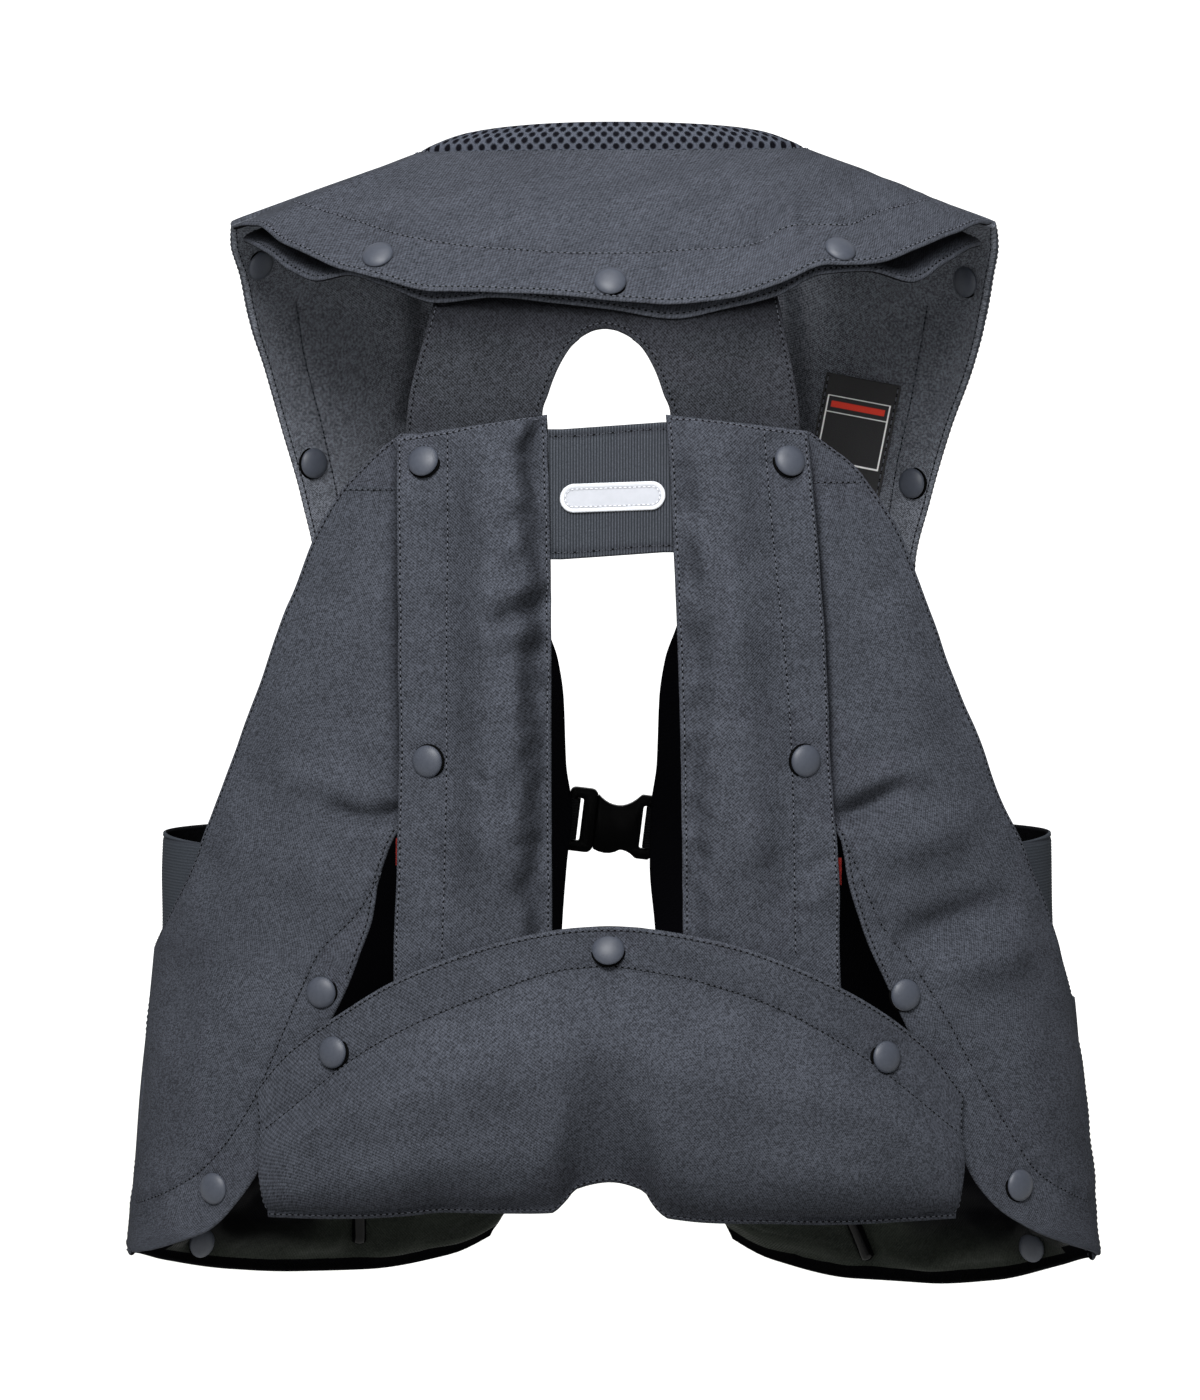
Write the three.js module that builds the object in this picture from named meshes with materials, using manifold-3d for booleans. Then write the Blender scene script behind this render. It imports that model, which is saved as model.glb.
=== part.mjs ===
// Airbag vest for a young rider, in its worn form and fastened.
// Millimetres; +Z up, +X to the wearer's right, +Y the way the wearer faces.
// The origin is the middle of the neck opening at shoulder height.

import * as THREE from 'three';
import { mergeVertices } from 'three/addons/utils/BufferGeometryUtils.js';
import Module from 'manifold-3d';

const wasm = await Module();
wasm.setup();

// Body form: an oval that widens from the shoulders to the hem
const SHOULDER_HALF_WIDTH = 156;
const WIDTH_FLARE = 0.106;
const CHEST_HALF_DEPTH = 82;
const DEPTH_FLARE = 0.024;

// Cloth thicknesses and the clearances between pieces
const CLOTH = 1.8;
const TWO_PLY = 2.2;
const ELASTIC = 2.2;
const WEBBING = 1.4;
const SEAT_GAP = 0.4;
const LAYER_GAP = 0.7;
const HOLLOW_GAP = 1.3;
const SEAM_ANGLE_GAP = THREE.MathUtils.degToRad(0.15);

// Padding: how thick the filled pieces stand at their edges and crowns
const PAD_EDGE = 3;
const STRAP_LIFT = TWO_PLY + LAYER_GAP;
const LOWER_FLAP_CROWN = 14;
const FRONT_CROWN = 7;

// Neck ring where the collar is sewn, and the ring of the collar's lower edge
const NECK = { halfWidth: 80, halfDepth: 29, z: 24 };
const COLLAR_EDGE = { halfWidth: 157, halfDepth: 92 };
const COLLAR_BULGE = 5;
const UNDER_STEP = 2.2;
const UNDER_EDGE = { halfWidth: 153, halfDepth: 86 };
const UNDER_BULGE = 3;
const YOKE_STEP = 4.6;
const YOKE_EDGE = { halfWidth: 147, halfDepth: 80, z: -46 };

// Front panels roll over the shoulder above this height
const SHOULDER_ROLL_Z = -45;
const SHOULDER_TOP = { neckX: 80, neckZ: 22.5, tipX: 158, tipZ: -5 };

// Bands, badge, label and snaps
const CROSS_BAND = { halfWidth: 37, top: -90.3, bottom: -140, rise: 0.03 };
const BADGE = { x: 0, z: -116.5, length: 42, height: 11.5, thick: 1, rise: 0.035, blunt: 0.97 };
const SIDE_ELASTIC = {
  top: -257, bottom: -300, from: 61, to: 119, bottomHalfWidth: 182.5,
  left: { topHalfWidth: 185.5, halfDepth: 75.5 },
  right: { topHalfWidth: 183.5, halfDepth: 79 },
};
const LABEL = { x: 104, z: -93, width: 32, height: 50, lean: -0.19, thick: 0.7 };
const SLIT_TAB = { inner: 76, outer: 87, top: -264, bottom: -286, thick: 1.4 };
const HEM_TUBE = {
  radius: 2, gap: 1.5, top: -405,
  left: { topX: -111, lowX: -111, low: -445 },
  right: { topX: 93, lowX: 113.6, low: -452 },
};
const SNAP = { radius: 6.9, rim: 0.6, side: 1.3, crown: 2.9, facets: 12 };
const SNAP_DOME = table(['radiusShare', 'riseShare'], [
  [1, 0],
  [0.78, 0.62],
  [0.42, 0.92],
  [0, 1],
]);
const RAY_START = 400;

// Buckle, across the gap between the front panels, with its right end lower
const BUCKLE = {
  z: -262.5, height: 28, back: 94, thick: 6.4, barX: 19.6, bar: 3, slot: 3.4, plugEnd: -7.4,
  socketStart: -7, waist: 3, webHeight: 18, webShift: 0.35, webStops: [66, 52, 38, 26],
  tilt: THREE.MathUtils.degToRad(7),
};

// A table is a list of rows with named columns; each row is one section of a piece
function table(columns, rows) {
  return rows.map((row) => Object.fromEntries(columns.map((name, i) => [name, row[i]])));
}

// Side panels: distance from the centre line of the armhole or side edge and of the slit edge.
// From -300 down the outer edge is the side seam.
const SIDE_PANEL = {
  left: table(['z', 'outer', 'inner'], [
    [-93.4, 86.5, 73],
    [-104, 98.5, 71],
    [-114, 108, 70],
    [-131, 118.5, 70],
    [-158, 129.5, 70],
    [-185, 139, 70],
    [-212, 149.5, 70],
    [-234, 157.5, 71],
    [-244, 161, 77],
    [-254, 165, 86],
    [-271, 172, 93.5],
    [-286, 179.5, 98.5],
    [-300, 186, 104],
    [-309, 190, 107.5],
    [-319, 193, 111.5],
    [-352, 197, 126],
    [-391, 201, 143.5],
    [-404, 203, 152.5],
    [-416, 204, 164],
    [-424, 205, 180],
    [-431, 206, 196],
  ]),
  right: table(['z', 'outer', 'inner'], [
    [-93.4, 82.8, 70],
    [-104, 96, 70],
    [-114, 104, 70],
    [-131, 114.5, 71],
    [-158, 125, 72],
    [-185, 135.5, 73],
    [-212, 146.5, 74],
    [-234, 155, 76],
    [-244, 159.5, 81],
    [-254, 164, 90],
    [-271, 171.5, 94],
    [-286, 178, 98.5],
    [-300, 182, 104],
    [-310, 187, 108.7],
    [-322, 191.5, 114.4],
    [-352, 197, 128.5],
    [-391, 201, 144],
    [-404, 203, 153.5],
    [-416, 204, 169],
    [-424, 205, 184],
    [-431, 206, 197],
    [-436.5, 207, 203],
  ]),
};

// The crease that runs out from the top of each slit
const SLIT_CREASE = { z: -246, slope: 0.18, halfHeight: 7, from: 84, to: 124, depth: 2.6 };

// Back straps: heights at both edges, the edges' distances from the centre line, and the crown
const BACK_STRAP = {
  left: table(['outerZ', 'innerZ', 'outer', 'inner', 'crown'], [
    [-93, -84, 84.6, 25.6, 4],
    [-104, -98, 84.6, 25.3, 9],
    [-140, -138, 84.5, 24.3, 13],
    [-180, -180, 84.3, 24, 14],
    [-221, -221, 84.2, 24, 14],
    [-262, -262, 85, 23.8, 12],
    [-298, -288, 86.5, 23.7, 8],
    [-332, -318, 87, 24, 4],
  ]),
  right: table(['outerZ', 'innerZ', 'outer', 'inner', 'crown'], [
    [-94, -84, 77, 20.7, 4],
    [-106, -98, 78.2, 21.8, 9],
    [-140, -138, 81, 23.8, 13],
    [-180, -180, 84, 25.6, 14],
    [-221, -221, 86, 26.7, 14],
    [-265, -262, 89, 27.3, 12],
    [-303, -288, 90, 27.6, 8],
    [-334, -318, 91, 28, 4],
  ]),
};

// Lower flap, left to right: top and bottom of each section, how far the top leans in at the
// bottom, and how far its back face stands off the body at the top and at the bottom
const LOWER_FLAP = table(['x', 'top', 'bottom', 'bottomX', 'topLift', 'bottomLift'], [
  [-141.5, -356.5, -407.6, -137, 4, 4],
  [-126, -338, -407.2, -122, 5.5, 4.5],
  [-105, -322.5, -406.1, -103, 8, 5],
  [-84.5, -309.5, -404.4, -84, 10.9, 6],
  [-64, -300, -402.1, -64, 11.3, 6.5],
  [-44.5, -293, -400.3, -44.5, 11.3, 6.5],
  [-23, -288, -400.3, -24, 11.1, 6.5],
  [-18, -287.3, -395.7, -18.6, 11.1, 6.5],
  [-13, -286.8, -391.8, -14, 11.1, 6.5],
  [-1.5, -286.3, -389, -1, 11.1, 6.5],
  [10, -286.8, -392.6, 12, 11.1, 6.5],
  [14.5, -287.4, -397.3, 16.6, 11.1, 6.5],
  [19, -288, -401.9, 22, 11.1, 6.5],
  [43, -293, -405, 43, 11.3, 6.5],
  [64, -300.5, -406.5, 64, 11.3, 6.5],
  [83, -309.5, -407.5, 82, 10.9, 6],
  [104, -322, -408.1, 102, 8, 5],
  [124, -338, -407.9, 120, 5.5, 4.5],
  [139.5, -358.5, -408, 136.3, 4, 4],
]);
const LOWER_FLAP_DENT = { x: -2, halfWidth: 17, share: 0.8 };

// Front panels, hem to shoulder: height, how much of the hem's curve and of the shoulder's roll
// a section takes, and the distances from the centre line of its inner edge and both outer edges
const FRONT_PANEL = table(['z', 'hem', 'roll', 'inner', 'left', 'right'], [
  [-432, 1, 0, 53, 206, 206],
  [-419, 0.66, 0, 42, 205, 205],
  [-400, 0.3, 0, 33, 203, 203],
  [-372, 0, 0, 26, 201, 201],
  [-340, 0, 0, 22, 197, 197],
  [-320, 0, 0, 21, 193, 191],
  [-305, 0, 0, 20, 188, 184.5],
  [-280, 0, 0, 18, 178, 176],
  [-256, 0, 0, 17, 164, 164],
  [-236, 0, 0, 19.6, 154.5, 154.5],
  [-207, 0, 0, 20.7, 143, 143],
  [-190, 0, 0, 23.2, 137.5, 137.5],
  [-177, 0, 0, 27.7, 132, 133.5],
  [-150, 0, 0, 37, 126.5, 129],
  [-120, 0, 0, 43, 131.5, 135],
  [-90, 0, 0, 53, 139, 142.5],
  [-64, 0, 0, 61, 145.5, 150.5],
  [SHOULDER_ROLL_Z, 0, 0, 66, 150, 154.5],
  [SHOULDER_ROLL_Z, 0, 0.3, 70, 155, 157],
  [SHOULDER_ROLL_Z, 0, 0.6, 74.5, 157, 158.5],
  [SHOULDER_ROLL_Z, 0, 1, 80, 157.5, 158.5],
]);

// Front hem: how far it drops below the side corners, by distance from the centre line
const FRONT_HEM = table(['x', 'left', 'right'], [
  [40, 2, 2],
  [53, 12, 13.4],
  [71, 20, 22.4],
  [106, 25, 29.1],
  [136, 24, 29.1],
  [165, 20, 25],
  [190, 12, 15.5],
  [206, 1.5, 5],
]);

// Collar edges by angle from the centre of the back: the flap's height and the under ply's
const COLLAR = table(['angle', 'flap', 'under'], [
  [-90, -6, -10],
  [-77, -6, -13],
  [-67, -7, -18],
  [-58, -15, -26],
  [-51, -20, -30],
  [-44, -25.5, -28],
  [-36, -30, -33],
  [-27, -35, -39.5],
  [-18, -35.5, -37.5],
  [-8, -37, -40],
  [0, -39, -42.5],
  [9, -40.5, -46],
  [17, -38, -42],
  [25, -32, -37],
  [33, -24.5, -28],
  [42, -23.7, -26.5],
  [52, -17, -30.5],
  [62, -10.5, -22.5],
  [74, -4.5, -15],
  [90, -4, -12],
]);
const COLLAR_COLUMNS = [0, 0.25, 0.5, 0.75, 1];

// Neck mesh: a rolled strip, given as steps in towards the neck and up from the collar seam
const NECK_MESH = table(['inward', 'up'], [
  [1.3, 1.6],
  [4, 6],
  [9, 9.2],
  [14, 7],
  [16, -1],
  [16.5, -14],
]);
const MESH_SIDE_SHARE = 0.25;
const MESH_THICK = 2.4;
const MESH_DEPTH_SHARE = 0.6;
const MESH_ANGLES = 14;

// Back yoke: sections on the collar's slope by share of it, then on the back by height
const YOKE = table(['slope', 'z', 'left', 'right'], [
  [0.06, 0, 52, 52],
  [0.4, 0, 60, 58],
  [0.75, 0, 68, 64],
  [1, -54, 75, 69],
  [1, -66, 78.5, 71.5],
  [1, -78, 81.5, 74],
  [1, -87.5, 83.5, 75.5],
]);
const YOKE_COLUMNS = 13;
const YOKE_HEM_DROP = 5;
const ARCH = { x: -2.5, halfWidth: 24.5, top: -50.5, spring: -84, bottom: -110, roundness: 0.55 };

// Snaps on outer faces are found from behind, those on the front panels' inner faces from inside
const SNAPS = table(['name', 'host', 'x', 'z', 'inside'], [
  ['snap_collar_left', 'collar_flap', -94, -21, false],
  ['snap_collar_middle', 'collar_flap', -1, -31, false],
  ['snap_collar_right', 'collar_flap', 91, -17.5, false],
  ['snap_strap_left_top', 'back_strap_left', -74.5, -102, false],
  ['snap_strap_left_low', 'back_strap_left', -74, -221, false],
  ['snap_strap_right_top', 'back_strap_right', 69.5, -102, false],
  ['snap_strap_right_low', 'back_strap_right', 76.5, -221, false],
  ['snap_lower_left', 'lower_flap', -113, -339, false],
  ['snap_lower_middle', 'lower_flap', -2, -296, false],
  ['snap_lower_right', 'lower_flap', 110, -340, false],
  ['snap_side_left_top', 'side_panel_left', -117.5, -316, false],
  ['snap_side_left_low', 'side_panel_left', -162.5, -398.5, false],
  ['snap_side_right_top', 'side_panel_right', 118, -317, false],
  ['snap_side_right_low', 'side_panel_right', 167, -396, false],
  ['snap_front_left_top', 'front_panel_left', -148, -21, true],
  ['snap_front_left_low', 'front_panel_left', -127.5, -104.5, true],
  ['snap_front_right_top', 'front_panel_right', 149, -28, true],
  ['snap_front_right_low', 'front_panel_right', 128.5, -113, true],
  ['snap_hem_left', 'front_panel_left', -175, -440, true],
  ['snap_hem_right', 'front_panel_right', 178, -442, true],
]);
const SNAP_GAP = 0.35;
const RIM_CHECKS = 12;

// Finishes
function finish(color, roughness, metalness = 0) {
  return new THREE.MeshStandardMaterial({ color, roughness, metalness });
}
const CHARCOAL_CLOTH = finish(0x35373d, 0.9);
const BLACK_LINING = finish(0x17181b, 0.75);
const BLACK_MESH = finish(0x1c1d20, 0.95);
const SLATE_ELASTIC = finish(0x44464d, 0.85);
const SILVER_BADGE = finish(0xb9babd, 0.6);
const GUNMETAL = finish(0x4a4c50, 0.45, 0.6);
const BLACK_PLASTIC = finish(0x101114, 0.4);
const BLACK_WEBBING = finish(0x1b1c20, 0.85);
const BLACK_RUBBER = finish(0x0d0e10, 0.3);
const RED_CLOTH = finish(0x8a1512, 0.8);
const BLACK_LABEL = finish(0x1d1c1b, 0.5);

const vest = new THREE.Group();

function place(name, geometry, material) {
  const mesh = new THREE.Mesh(geometry, material);
  mesh.name = name;
  vest.add(mesh);
  return mesh;
}

// Smooth curves through the tables

// Tangent at a row: flat at turning points, so that no curve swings past its rows
function slopeAt(values, i) {
  const before = values[Math.max(i, 1)] - values[Math.max(i, 1) - 1];
  const last = values.length - 1;
  const after = values[Math.min(i, last - 1) + 1] - values[Math.min(i, last - 1)];
  if (before * after <= 0) return 0;
  return (2 * before * after) / (before + after);
}

// One column of a table, at a place counted in rows
function readRow(rows, column, place) {
  const values = rows.map((row) => row[column]);
  const i = Math.min(Math.floor(place), values.length - 2);
  const t = place - i;
  const [start, end] = [values[i], values[i + 1]];
  const curve = 3 * t ** 2 - 2 * t ** 3;
  const leave = (t ** 3 - 2 * t ** 2 + t) * slopeAt(values, i);
  const arrive = (t ** 3 - t ** 2) * slopeAt(values, i + 1);
  return start + (end - start) * curve + leave + arrive;
}

// One column of a table, at a value of its rising first column
function readAt(rows, key, value, column) {
  const next = rows.findIndex((row) => row[key] >= value);
  if (next === 0) return rows[0][column];
  if (next < 0) return rows[rows.length - 1][column];
  const low = rows[next - 1][key];
  const share = (value - low) / (rows[next][key] - low);
  return readRow(rows, column, next - 1 + share);
}

// The body form

function halfWidth(z) {
  return SHOULDER_HALF_WIDTH - WIDTH_FLARE * z;
}

function halfDepth(z) {
  return CHEST_HALF_DEPTH - DEPTH_FLARE * z;
}

// Angle 0 is the middle of the back, a quarter turn the side, a half turn the front
function bodyPoint(angle, z) {
  return new THREE.Vector3(halfWidth(z) * Math.sin(angle), -halfDepth(z) * Math.cos(angle), z);
}

function backAngle(x, z) {
  return Math.asin(THREE.MathUtils.clamp(x / halfWidth(z), -1, 1));
}

function frontAngle(x, z) {
  return Math.PI - backAngle(x, z);
}

function onBack(x, z) {
  return bodyPoint(backAngle(x, z), z);
}

// Walls: a grid of points closed into one thick sheet

function grid(rows, columns, pointAt) {
  const line = (row) => Array.from({ length: columns }, (_, column) => pointAt(row, column));
  return Array.from({ length: rows }, (_, row) => line(row));
}

// A way that is out of the body everywhere on its surface, used to pick each sheet's outer face
const OUTWARD_RISE = 60;
function awayFromBody(point) {
  return new THREE.Vector3(point.x, point.y, OUTWARD_RISE);
}

function gridNormals(points) {
  const rows = points.length;
  const columns = points[0].length;
  const normals = grid(rows, columns, (row, column) => {
    const down = points[Math.min(row + 1, rows - 1)][column].clone();
    down.sub(points[Math.max(row - 1, 0)][column]);
    const along = points[row][Math.min(column + 1, columns - 1)].clone();
    along.sub(points[row][Math.max(column - 1, 0)]);
    return along.cross(down).normalize();
  });
  const votes = normals.flat().map((normal, i) => normal.dot(awayFromBody(points.flat()[i])));
  const sign = Math.sign(votes.reduce((sum, vote) => sum + vote, 0));
  normals.flat().forEach((normal) => normal.multiplyScalar(sign));
  return normals;
}

function shifted(points, normals, amount) {
  const rows = points.length;
  const columns = points[0].length;
  return grid(rows, columns, (row, column) => {
    const distance = typeof amount === 'function' ? amount(row, column) : amount;
    return points[row][column].clone().addScaledVector(normals[row][column], distance);
  });
}

function solidGeometry(positions, triangles) {
  const geometry = new THREE.BufferGeometry();
  geometry.setAttribute('position', new THREE.Float32BufferAttribute(positions, 3));
  geometry.setIndex(triangles);
  return geometry;
}

// Six times the volume that the triangles close, negative if they face in
function windingVolume(points, triangles) {
  let sum = 0;
  for (let i = 0; i < triangles.length; i += 3) {
    const [a, b, c] = [points[triangles[i]], points[triangles[i + 1]], points[triangles[i + 2]]];
    sum += a.dot(b.clone().cross(c));
  }
  return sum;
}

function closedShell(inner, outer) {
  const rows = inner.length;
  const columns = inner[0].length;
  const points = [...outer.flat(), ...inner.flat()];
  const out = (row, column) => row * columns + column;
  const back = (row, column) => (rows + row) * columns + column;
  const triangles = [];
  const quad = (a, b, c, d) => triangles.push(a, b, c, a, c, d);
  for (let r = 0; r < rows - 1; r += 1) {
    for (let c = 0; c < columns - 1; c += 1) {
      quad(out(r, c), out(r, c + 1), out(r + 1, c + 1), out(r + 1, c));
      quad(back(r, c), back(r + 1, c), back(r + 1, c + 1), back(r, c + 1));
    }
    quad(out(r, 0), out(r + 1, 0), back(r + 1, 0), back(r, 0));
    const end = columns - 1;
    quad(out(r, end), back(r, end), back(r + 1, end), out(r + 1, end));
  }
  for (let c = 0; c < columns - 1; c += 1) {
    quad(out(0, c), back(0, c), back(0, c + 1), out(0, c + 1));
    const end = rows - 1;
    quad(out(end, c), out(end, c + 1), back(end, c + 1), back(end, c));
  }
  if (windingVolume(points, triangles) < 0) triangles.reverse();
  return solidGeometry(points.flatMap((point) => point.toArray()), triangles);
}

// A sheet whose inner face stands `lift` off the grid and whose outer face is `thick` further out
function wall(points, lift, thick) {
  const normals = gridNormals(points);
  const inner = shifted(points, normals, lift);
  const outer = shifted(inner, normals, thick);
  return closedShell(inner, outer);
}

// Rounded padding across a sheet: the edge's thickness plus a crown that falls to both edges
function padding(share, crown) {
  const across = Math.sqrt(Math.max(0, 1 - (2 * share - 1) ** 2));
  return PAD_EDGE + (crown - PAD_EDGE) * across;
}

// Cuts with the solid library

function toSolid(geometry) {
  const bare = geometry.clone();
  bare.deleteAttribute('normal');
  bare.deleteAttribute('uv');
  const merged = mergeVertices(bare);
  return new wasm.Manifold(new wasm.Mesh({
    numProp: 3,
    vertProperties: new Float32Array(merged.attributes.position.array),
    triVerts: new Uint32Array(merged.index.array),
  }));
}

function fromSolid(solid) {
  const mesh = solid.getMesh();
  return solidGeometry(Array.from(mesh.vertProperties), Array.from(mesh.triVerts));
}

function cut(geometry, ...tools) {
  return fromSolid(tools.reduce((left, tool) => left.subtract(toSolid(tool)), toSolid(geometry)));
}

// Side panels

function sidePanel(side, sign) {
  const rows = SIDE_PANEL[side];
  const columns = 8;
  const crease = (point) => {
    const reach = (Math.abs(point.x) - SLIT_CREASE.from) / (SLIT_CREASE.to - SLIT_CREASE.from);
    if (reach < 0 || reach > 1) return 0;
    const middle = SLIT_CREASE.z + SLIT_CREASE.slope * (Math.abs(point.x) - SLIT_CREASE.from);
    const across = (point.z - middle) / SLIT_CREASE.halfHeight;
    return -SLIT_CREASE.depth * (1 - reach) * Math.exp(-(across ** 2));
  };
  const points = grid(rows.length, columns, (row, column) => {
    const { z, outer, inner } = rows[row];
    const end = Math.min(backAngle(outer, z), Math.PI / 2 - SEAM_ANGLE_GAP);
    const angle = THREE.MathUtils.lerp(end, backAngle(inner, z), column / (columns - 1));
    return bodyPoint(sign * angle, z);
  });
  const lift = (row, column) => crease(points[row][column]);
  place(`side_panel_${side}`, wall(points, lift, TWO_PLY), CHARCOAL_CLOTH);
}
sidePanel('left', -1);
sidePanel('right', 1);

// Back straps

function backStrap(side, sign) {
  const rows = BACK_STRAP[side];
  const columns = 7;
  const points = grid(rows.length, columns, (row, column) => {
    const share = column / (columns - 1);
    const x = THREE.MathUtils.lerp(rows[row].outer, rows[row].inner, share);
    const z = THREE.MathUtils.lerp(rows[row].outerZ, rows[row].innerZ, share);
    return onBack(sign * x, z);
  });
  const thick = (row, column) => padding(column / (columns - 1), rows[row].crown);
  place(`back_strap_${side}`, wall(points, STRAP_LIFT, thick), CHARCOAL_CLOTH);
}
backStrap('left', -1);
backStrap('right', 1);

// Cross band and badge

function crossBand() {
  const columns = 9;
  const points = grid(2, columns, (row, column) => {
    const x = CROSS_BAND.halfWidth * (2 * column / (columns - 1) - 1);
    const z = row === 0 ? CROSS_BAND.top : CROSS_BAND.bottom;
    return onBack(x, z + CROSS_BAND.rise * x);
  });
  place('cross_band', wall(points, 0, ELASTIC), SLATE_ELASTIC);
}
crossBand();

function badge() {
  const columns = 15;
  const radius = BADGE.height / 2;
  const straight = BADGE.length / 2 - radius;
  const points = grid(3, columns, (row, column) => {
    const turn = Math.PI * (column / (columns - 1) - 0.5);
    const along = Math.sin(turn) * (BADGE.length / 2);
    const past = Math.max(0, Math.abs(along) - straight) / radius;
    const half = radius * Math.sqrt(1 - (BADGE.blunt * past) ** 2);
    return onBack(BADGE.x + along, BADGE.z + BADGE.rise * along + half * (1 - row));
  });
  place('badge', wall(points, ELASTIC + SEAT_GAP, BADGE.thick), SILVER_BADGE);
}
badge();

// Lower flap

function lowerFlap() {
  const rows = 9;
  const columns = LOWER_FLAP.length;
  const sections = LOWER_FLAP;
  const points = grid(rows, columns, (row, column) => {
    const section = sections[column];
    const share = row / (rows - 1);
    const x = THREE.MathUtils.lerp(section.x, section.bottomX, share);
    return onBack(x, THREE.MathUtils.lerp(section.top, section.bottom, share));
  });
  const lift = (row, column) => {
    const share = row / (rows - 1);
    return THREE.MathUtils.lerp(sections[column].topLift, sections[column].bottomLift, share);
  };
  const thick = (row, column) => {
    const down = row / (rows - 1);
    const ends = padding(column / (columns - 1), LOWER_FLAP_CROWN);
    const off = (points[row][column].x - LOWER_FLAP_DENT.x) / LOWER_FLAP_DENT.halfWidth;
    const dent = LOWER_FLAP_DENT.share * Math.exp(-(off ** 2)) * down;
    return PAD_EDGE + (padding(down, ends) - PAD_EDGE) * (1 - dent);
  };
  place('lower_flap', wall(points, lift, thick), CHARCOAL_CLOTH);
}
lowerFlap();

// Collar: the flap, the ply under it and the yoke share one family of slopes from neck to edge

function ringPoint(angle, ring, z) {
  return new THREE.Vector3(ring.halfWidth * Math.sin(angle), -ring.halfDepth * Math.cos(angle), z);
}

function slopePoint(angle, share, neck, edge, edgeZ, bulge) {
  const top = ringPoint(angle, neck, neck.z);
  const low = ringPoint(angle, edge, edgeZ);
  const out = new THREE.Vector3(low.x - top.x, low.y - top.y, 0).normalize();
  const point = top.clone().lerp(low, share);
  const swell = bulge * Math.sin(Math.PI * share) * Math.cos(angle);
  return point.addScaledVector(out, swell * Math.SQRT1_2).setZ(point.z + swell * Math.SQRT1_2);
}

function neckRing(step) {
  return {
    halfWidth: NECK.halfWidth - step,
    halfDepth: NECK.halfDepth - step,
    z: NECK.z - step,
  };
}

function collarPly(name, neck, edge, column, bulge, thick) {
  const points = grid(COLLAR.length, COLLAR_COLUMNS.length, (row, slot) => {
    const angle = THREE.MathUtils.degToRad(COLLAR[row].angle);
    const share = COLLAR_COLUMNS[slot];
    return slopePoint(angle, share, neck, edge, COLLAR[row][column], bulge);
  });
  place(name, wall(points, 0, thick), CHARCOAL_CLOTH);
}
collarPly('collar_flap', neckRing(0), COLLAR_EDGE, 'flap', COLLAR_BULGE, CLOTH);
collarPly('collar_under', neckRing(UNDER_STEP), UNDER_EDGE, 'under', UNDER_BULGE, TWO_PLY);

function collarMesh() {
  const points = grid(MESH_ANGLES + 1, NECK_MESH.length, (row, column) => {
    const angle = Math.PI * (row / MESH_ANGLES - 0.5);
    const { inward, up } = NECK_MESH[column];
    const ring = {
      halfWidth: NECK.halfWidth - inward,
      halfDepth: NECK.halfDepth - MESH_DEPTH_SHARE * inward,
    };
    const height = THREE.MathUtils.lerp(MESH_SIDE_SHARE, 1, Math.cos(angle));
    return ringPoint(angle, ring, NECK.z + up * height);
  });
  place('collar_mesh', wall(points, 0, MESH_THICK), BLACK_MESH);
}
collarMesh();

function archTool() {
  const shape = new THREE.Shape();
  const { x, halfWidth: half, top, spring, bottom, roundness } = ARCH;
  const shoulder = THREE.MathUtils.lerp(spring, top, roundness);
  shape.moveTo(x - half, bottom);
  shape.lineTo(x - half, spring);
  shape.bezierCurveTo(x - half, shoulder, x - half / 2, top, x, top);
  shape.bezierCurveTo(x + half / 2, top, x + half, shoulder, x + half, spring);
  shape.lineTo(x + half, bottom);
  const geometry = new THREE.ExtrudeGeometry(shape, {
    depth: RAY_START, bevelEnabled: false, curveSegments: 6,
  });
  return geometry.rotateX(Math.PI / 2);
}

function backYoke() {
  const points = grid(YOKE.length, YOKE_COLUMNS, (row, column) => {
    const section = YOKE[row];
    const share = 2 * column / (YOKE_COLUMNS - 1) - 1;
    const x = share < 0 ? share * section.left : share * section.right;
    if (section.slope < 1) {
      const neck = neckRing(YOKE_STEP);
      const reach = THREE.MathUtils.lerp(neck.halfWidth, YOKE_EDGE.halfWidth, section.slope);
      return slopePoint(Math.asin(x / reach), section.slope, neck, YOKE_EDGE, YOKE_EDGE.z, 0);
    }
    const last = row === YOKE.length - 1;
    return onBack(x, section.z - (last ? YOKE_HEM_DROP * Math.abs(share) ** 2 : 0));
  });
  place('back_yoke', cut(wall(points, 0, TWO_PLY), archTool()), CHARCOAL_CLOTH);
}
backYoke();

// Front panels

function shoulderTop(x) {
  const share = (Math.abs(x) - SHOULDER_TOP.neckX) / (SHOULDER_TOP.tipX - SHOULDER_TOP.neckX);
  return THREE.MathUtils.lerp(SHOULDER_TOP.neckZ, SHOULDER_TOP.tipZ, share);
}

function frontPanel(side, sign) {
  const columns = 8;
  const points = grid(FRONT_PANEL.length, columns, (row, column) => {
    const { z, hem, roll, inner, [side]: outer } = FRONT_PANEL[row];
    const end = Math.max(frontAngle(outer, z), Math.PI / 2 + SEAM_ANGLE_GAP);
    const angle = THREE.MathUtils.lerp(frontAngle(inner, z), end, column / (columns - 1));
    const point = bodyPoint(sign * angle, z);
    point.z -= hem * readAt(FRONT_HEM, 'x', Math.abs(point.x), side);
    const turn = roll * Math.PI / 2;
    point.z += (shoulderTop(point.x) - point.z) * Math.sin(turn);
    point.y = point.y * Math.cos(turn) + SEAT_GAP * Math.sin(turn);
    return point;
  });
  const thick = (row, column) => {
    const along = padding(row / (FRONT_PANEL.length - 1), FRONT_CROWN);
    return padding(column / (columns - 1), along);
  };
  return place(`front_panel_${side}`, wall(points, 0, thick), BLACK_LINING);
}
frontPanel('left', -1);
frontPanel('right', 1);

// Side elastics, inside both panels and upright round the side

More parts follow.
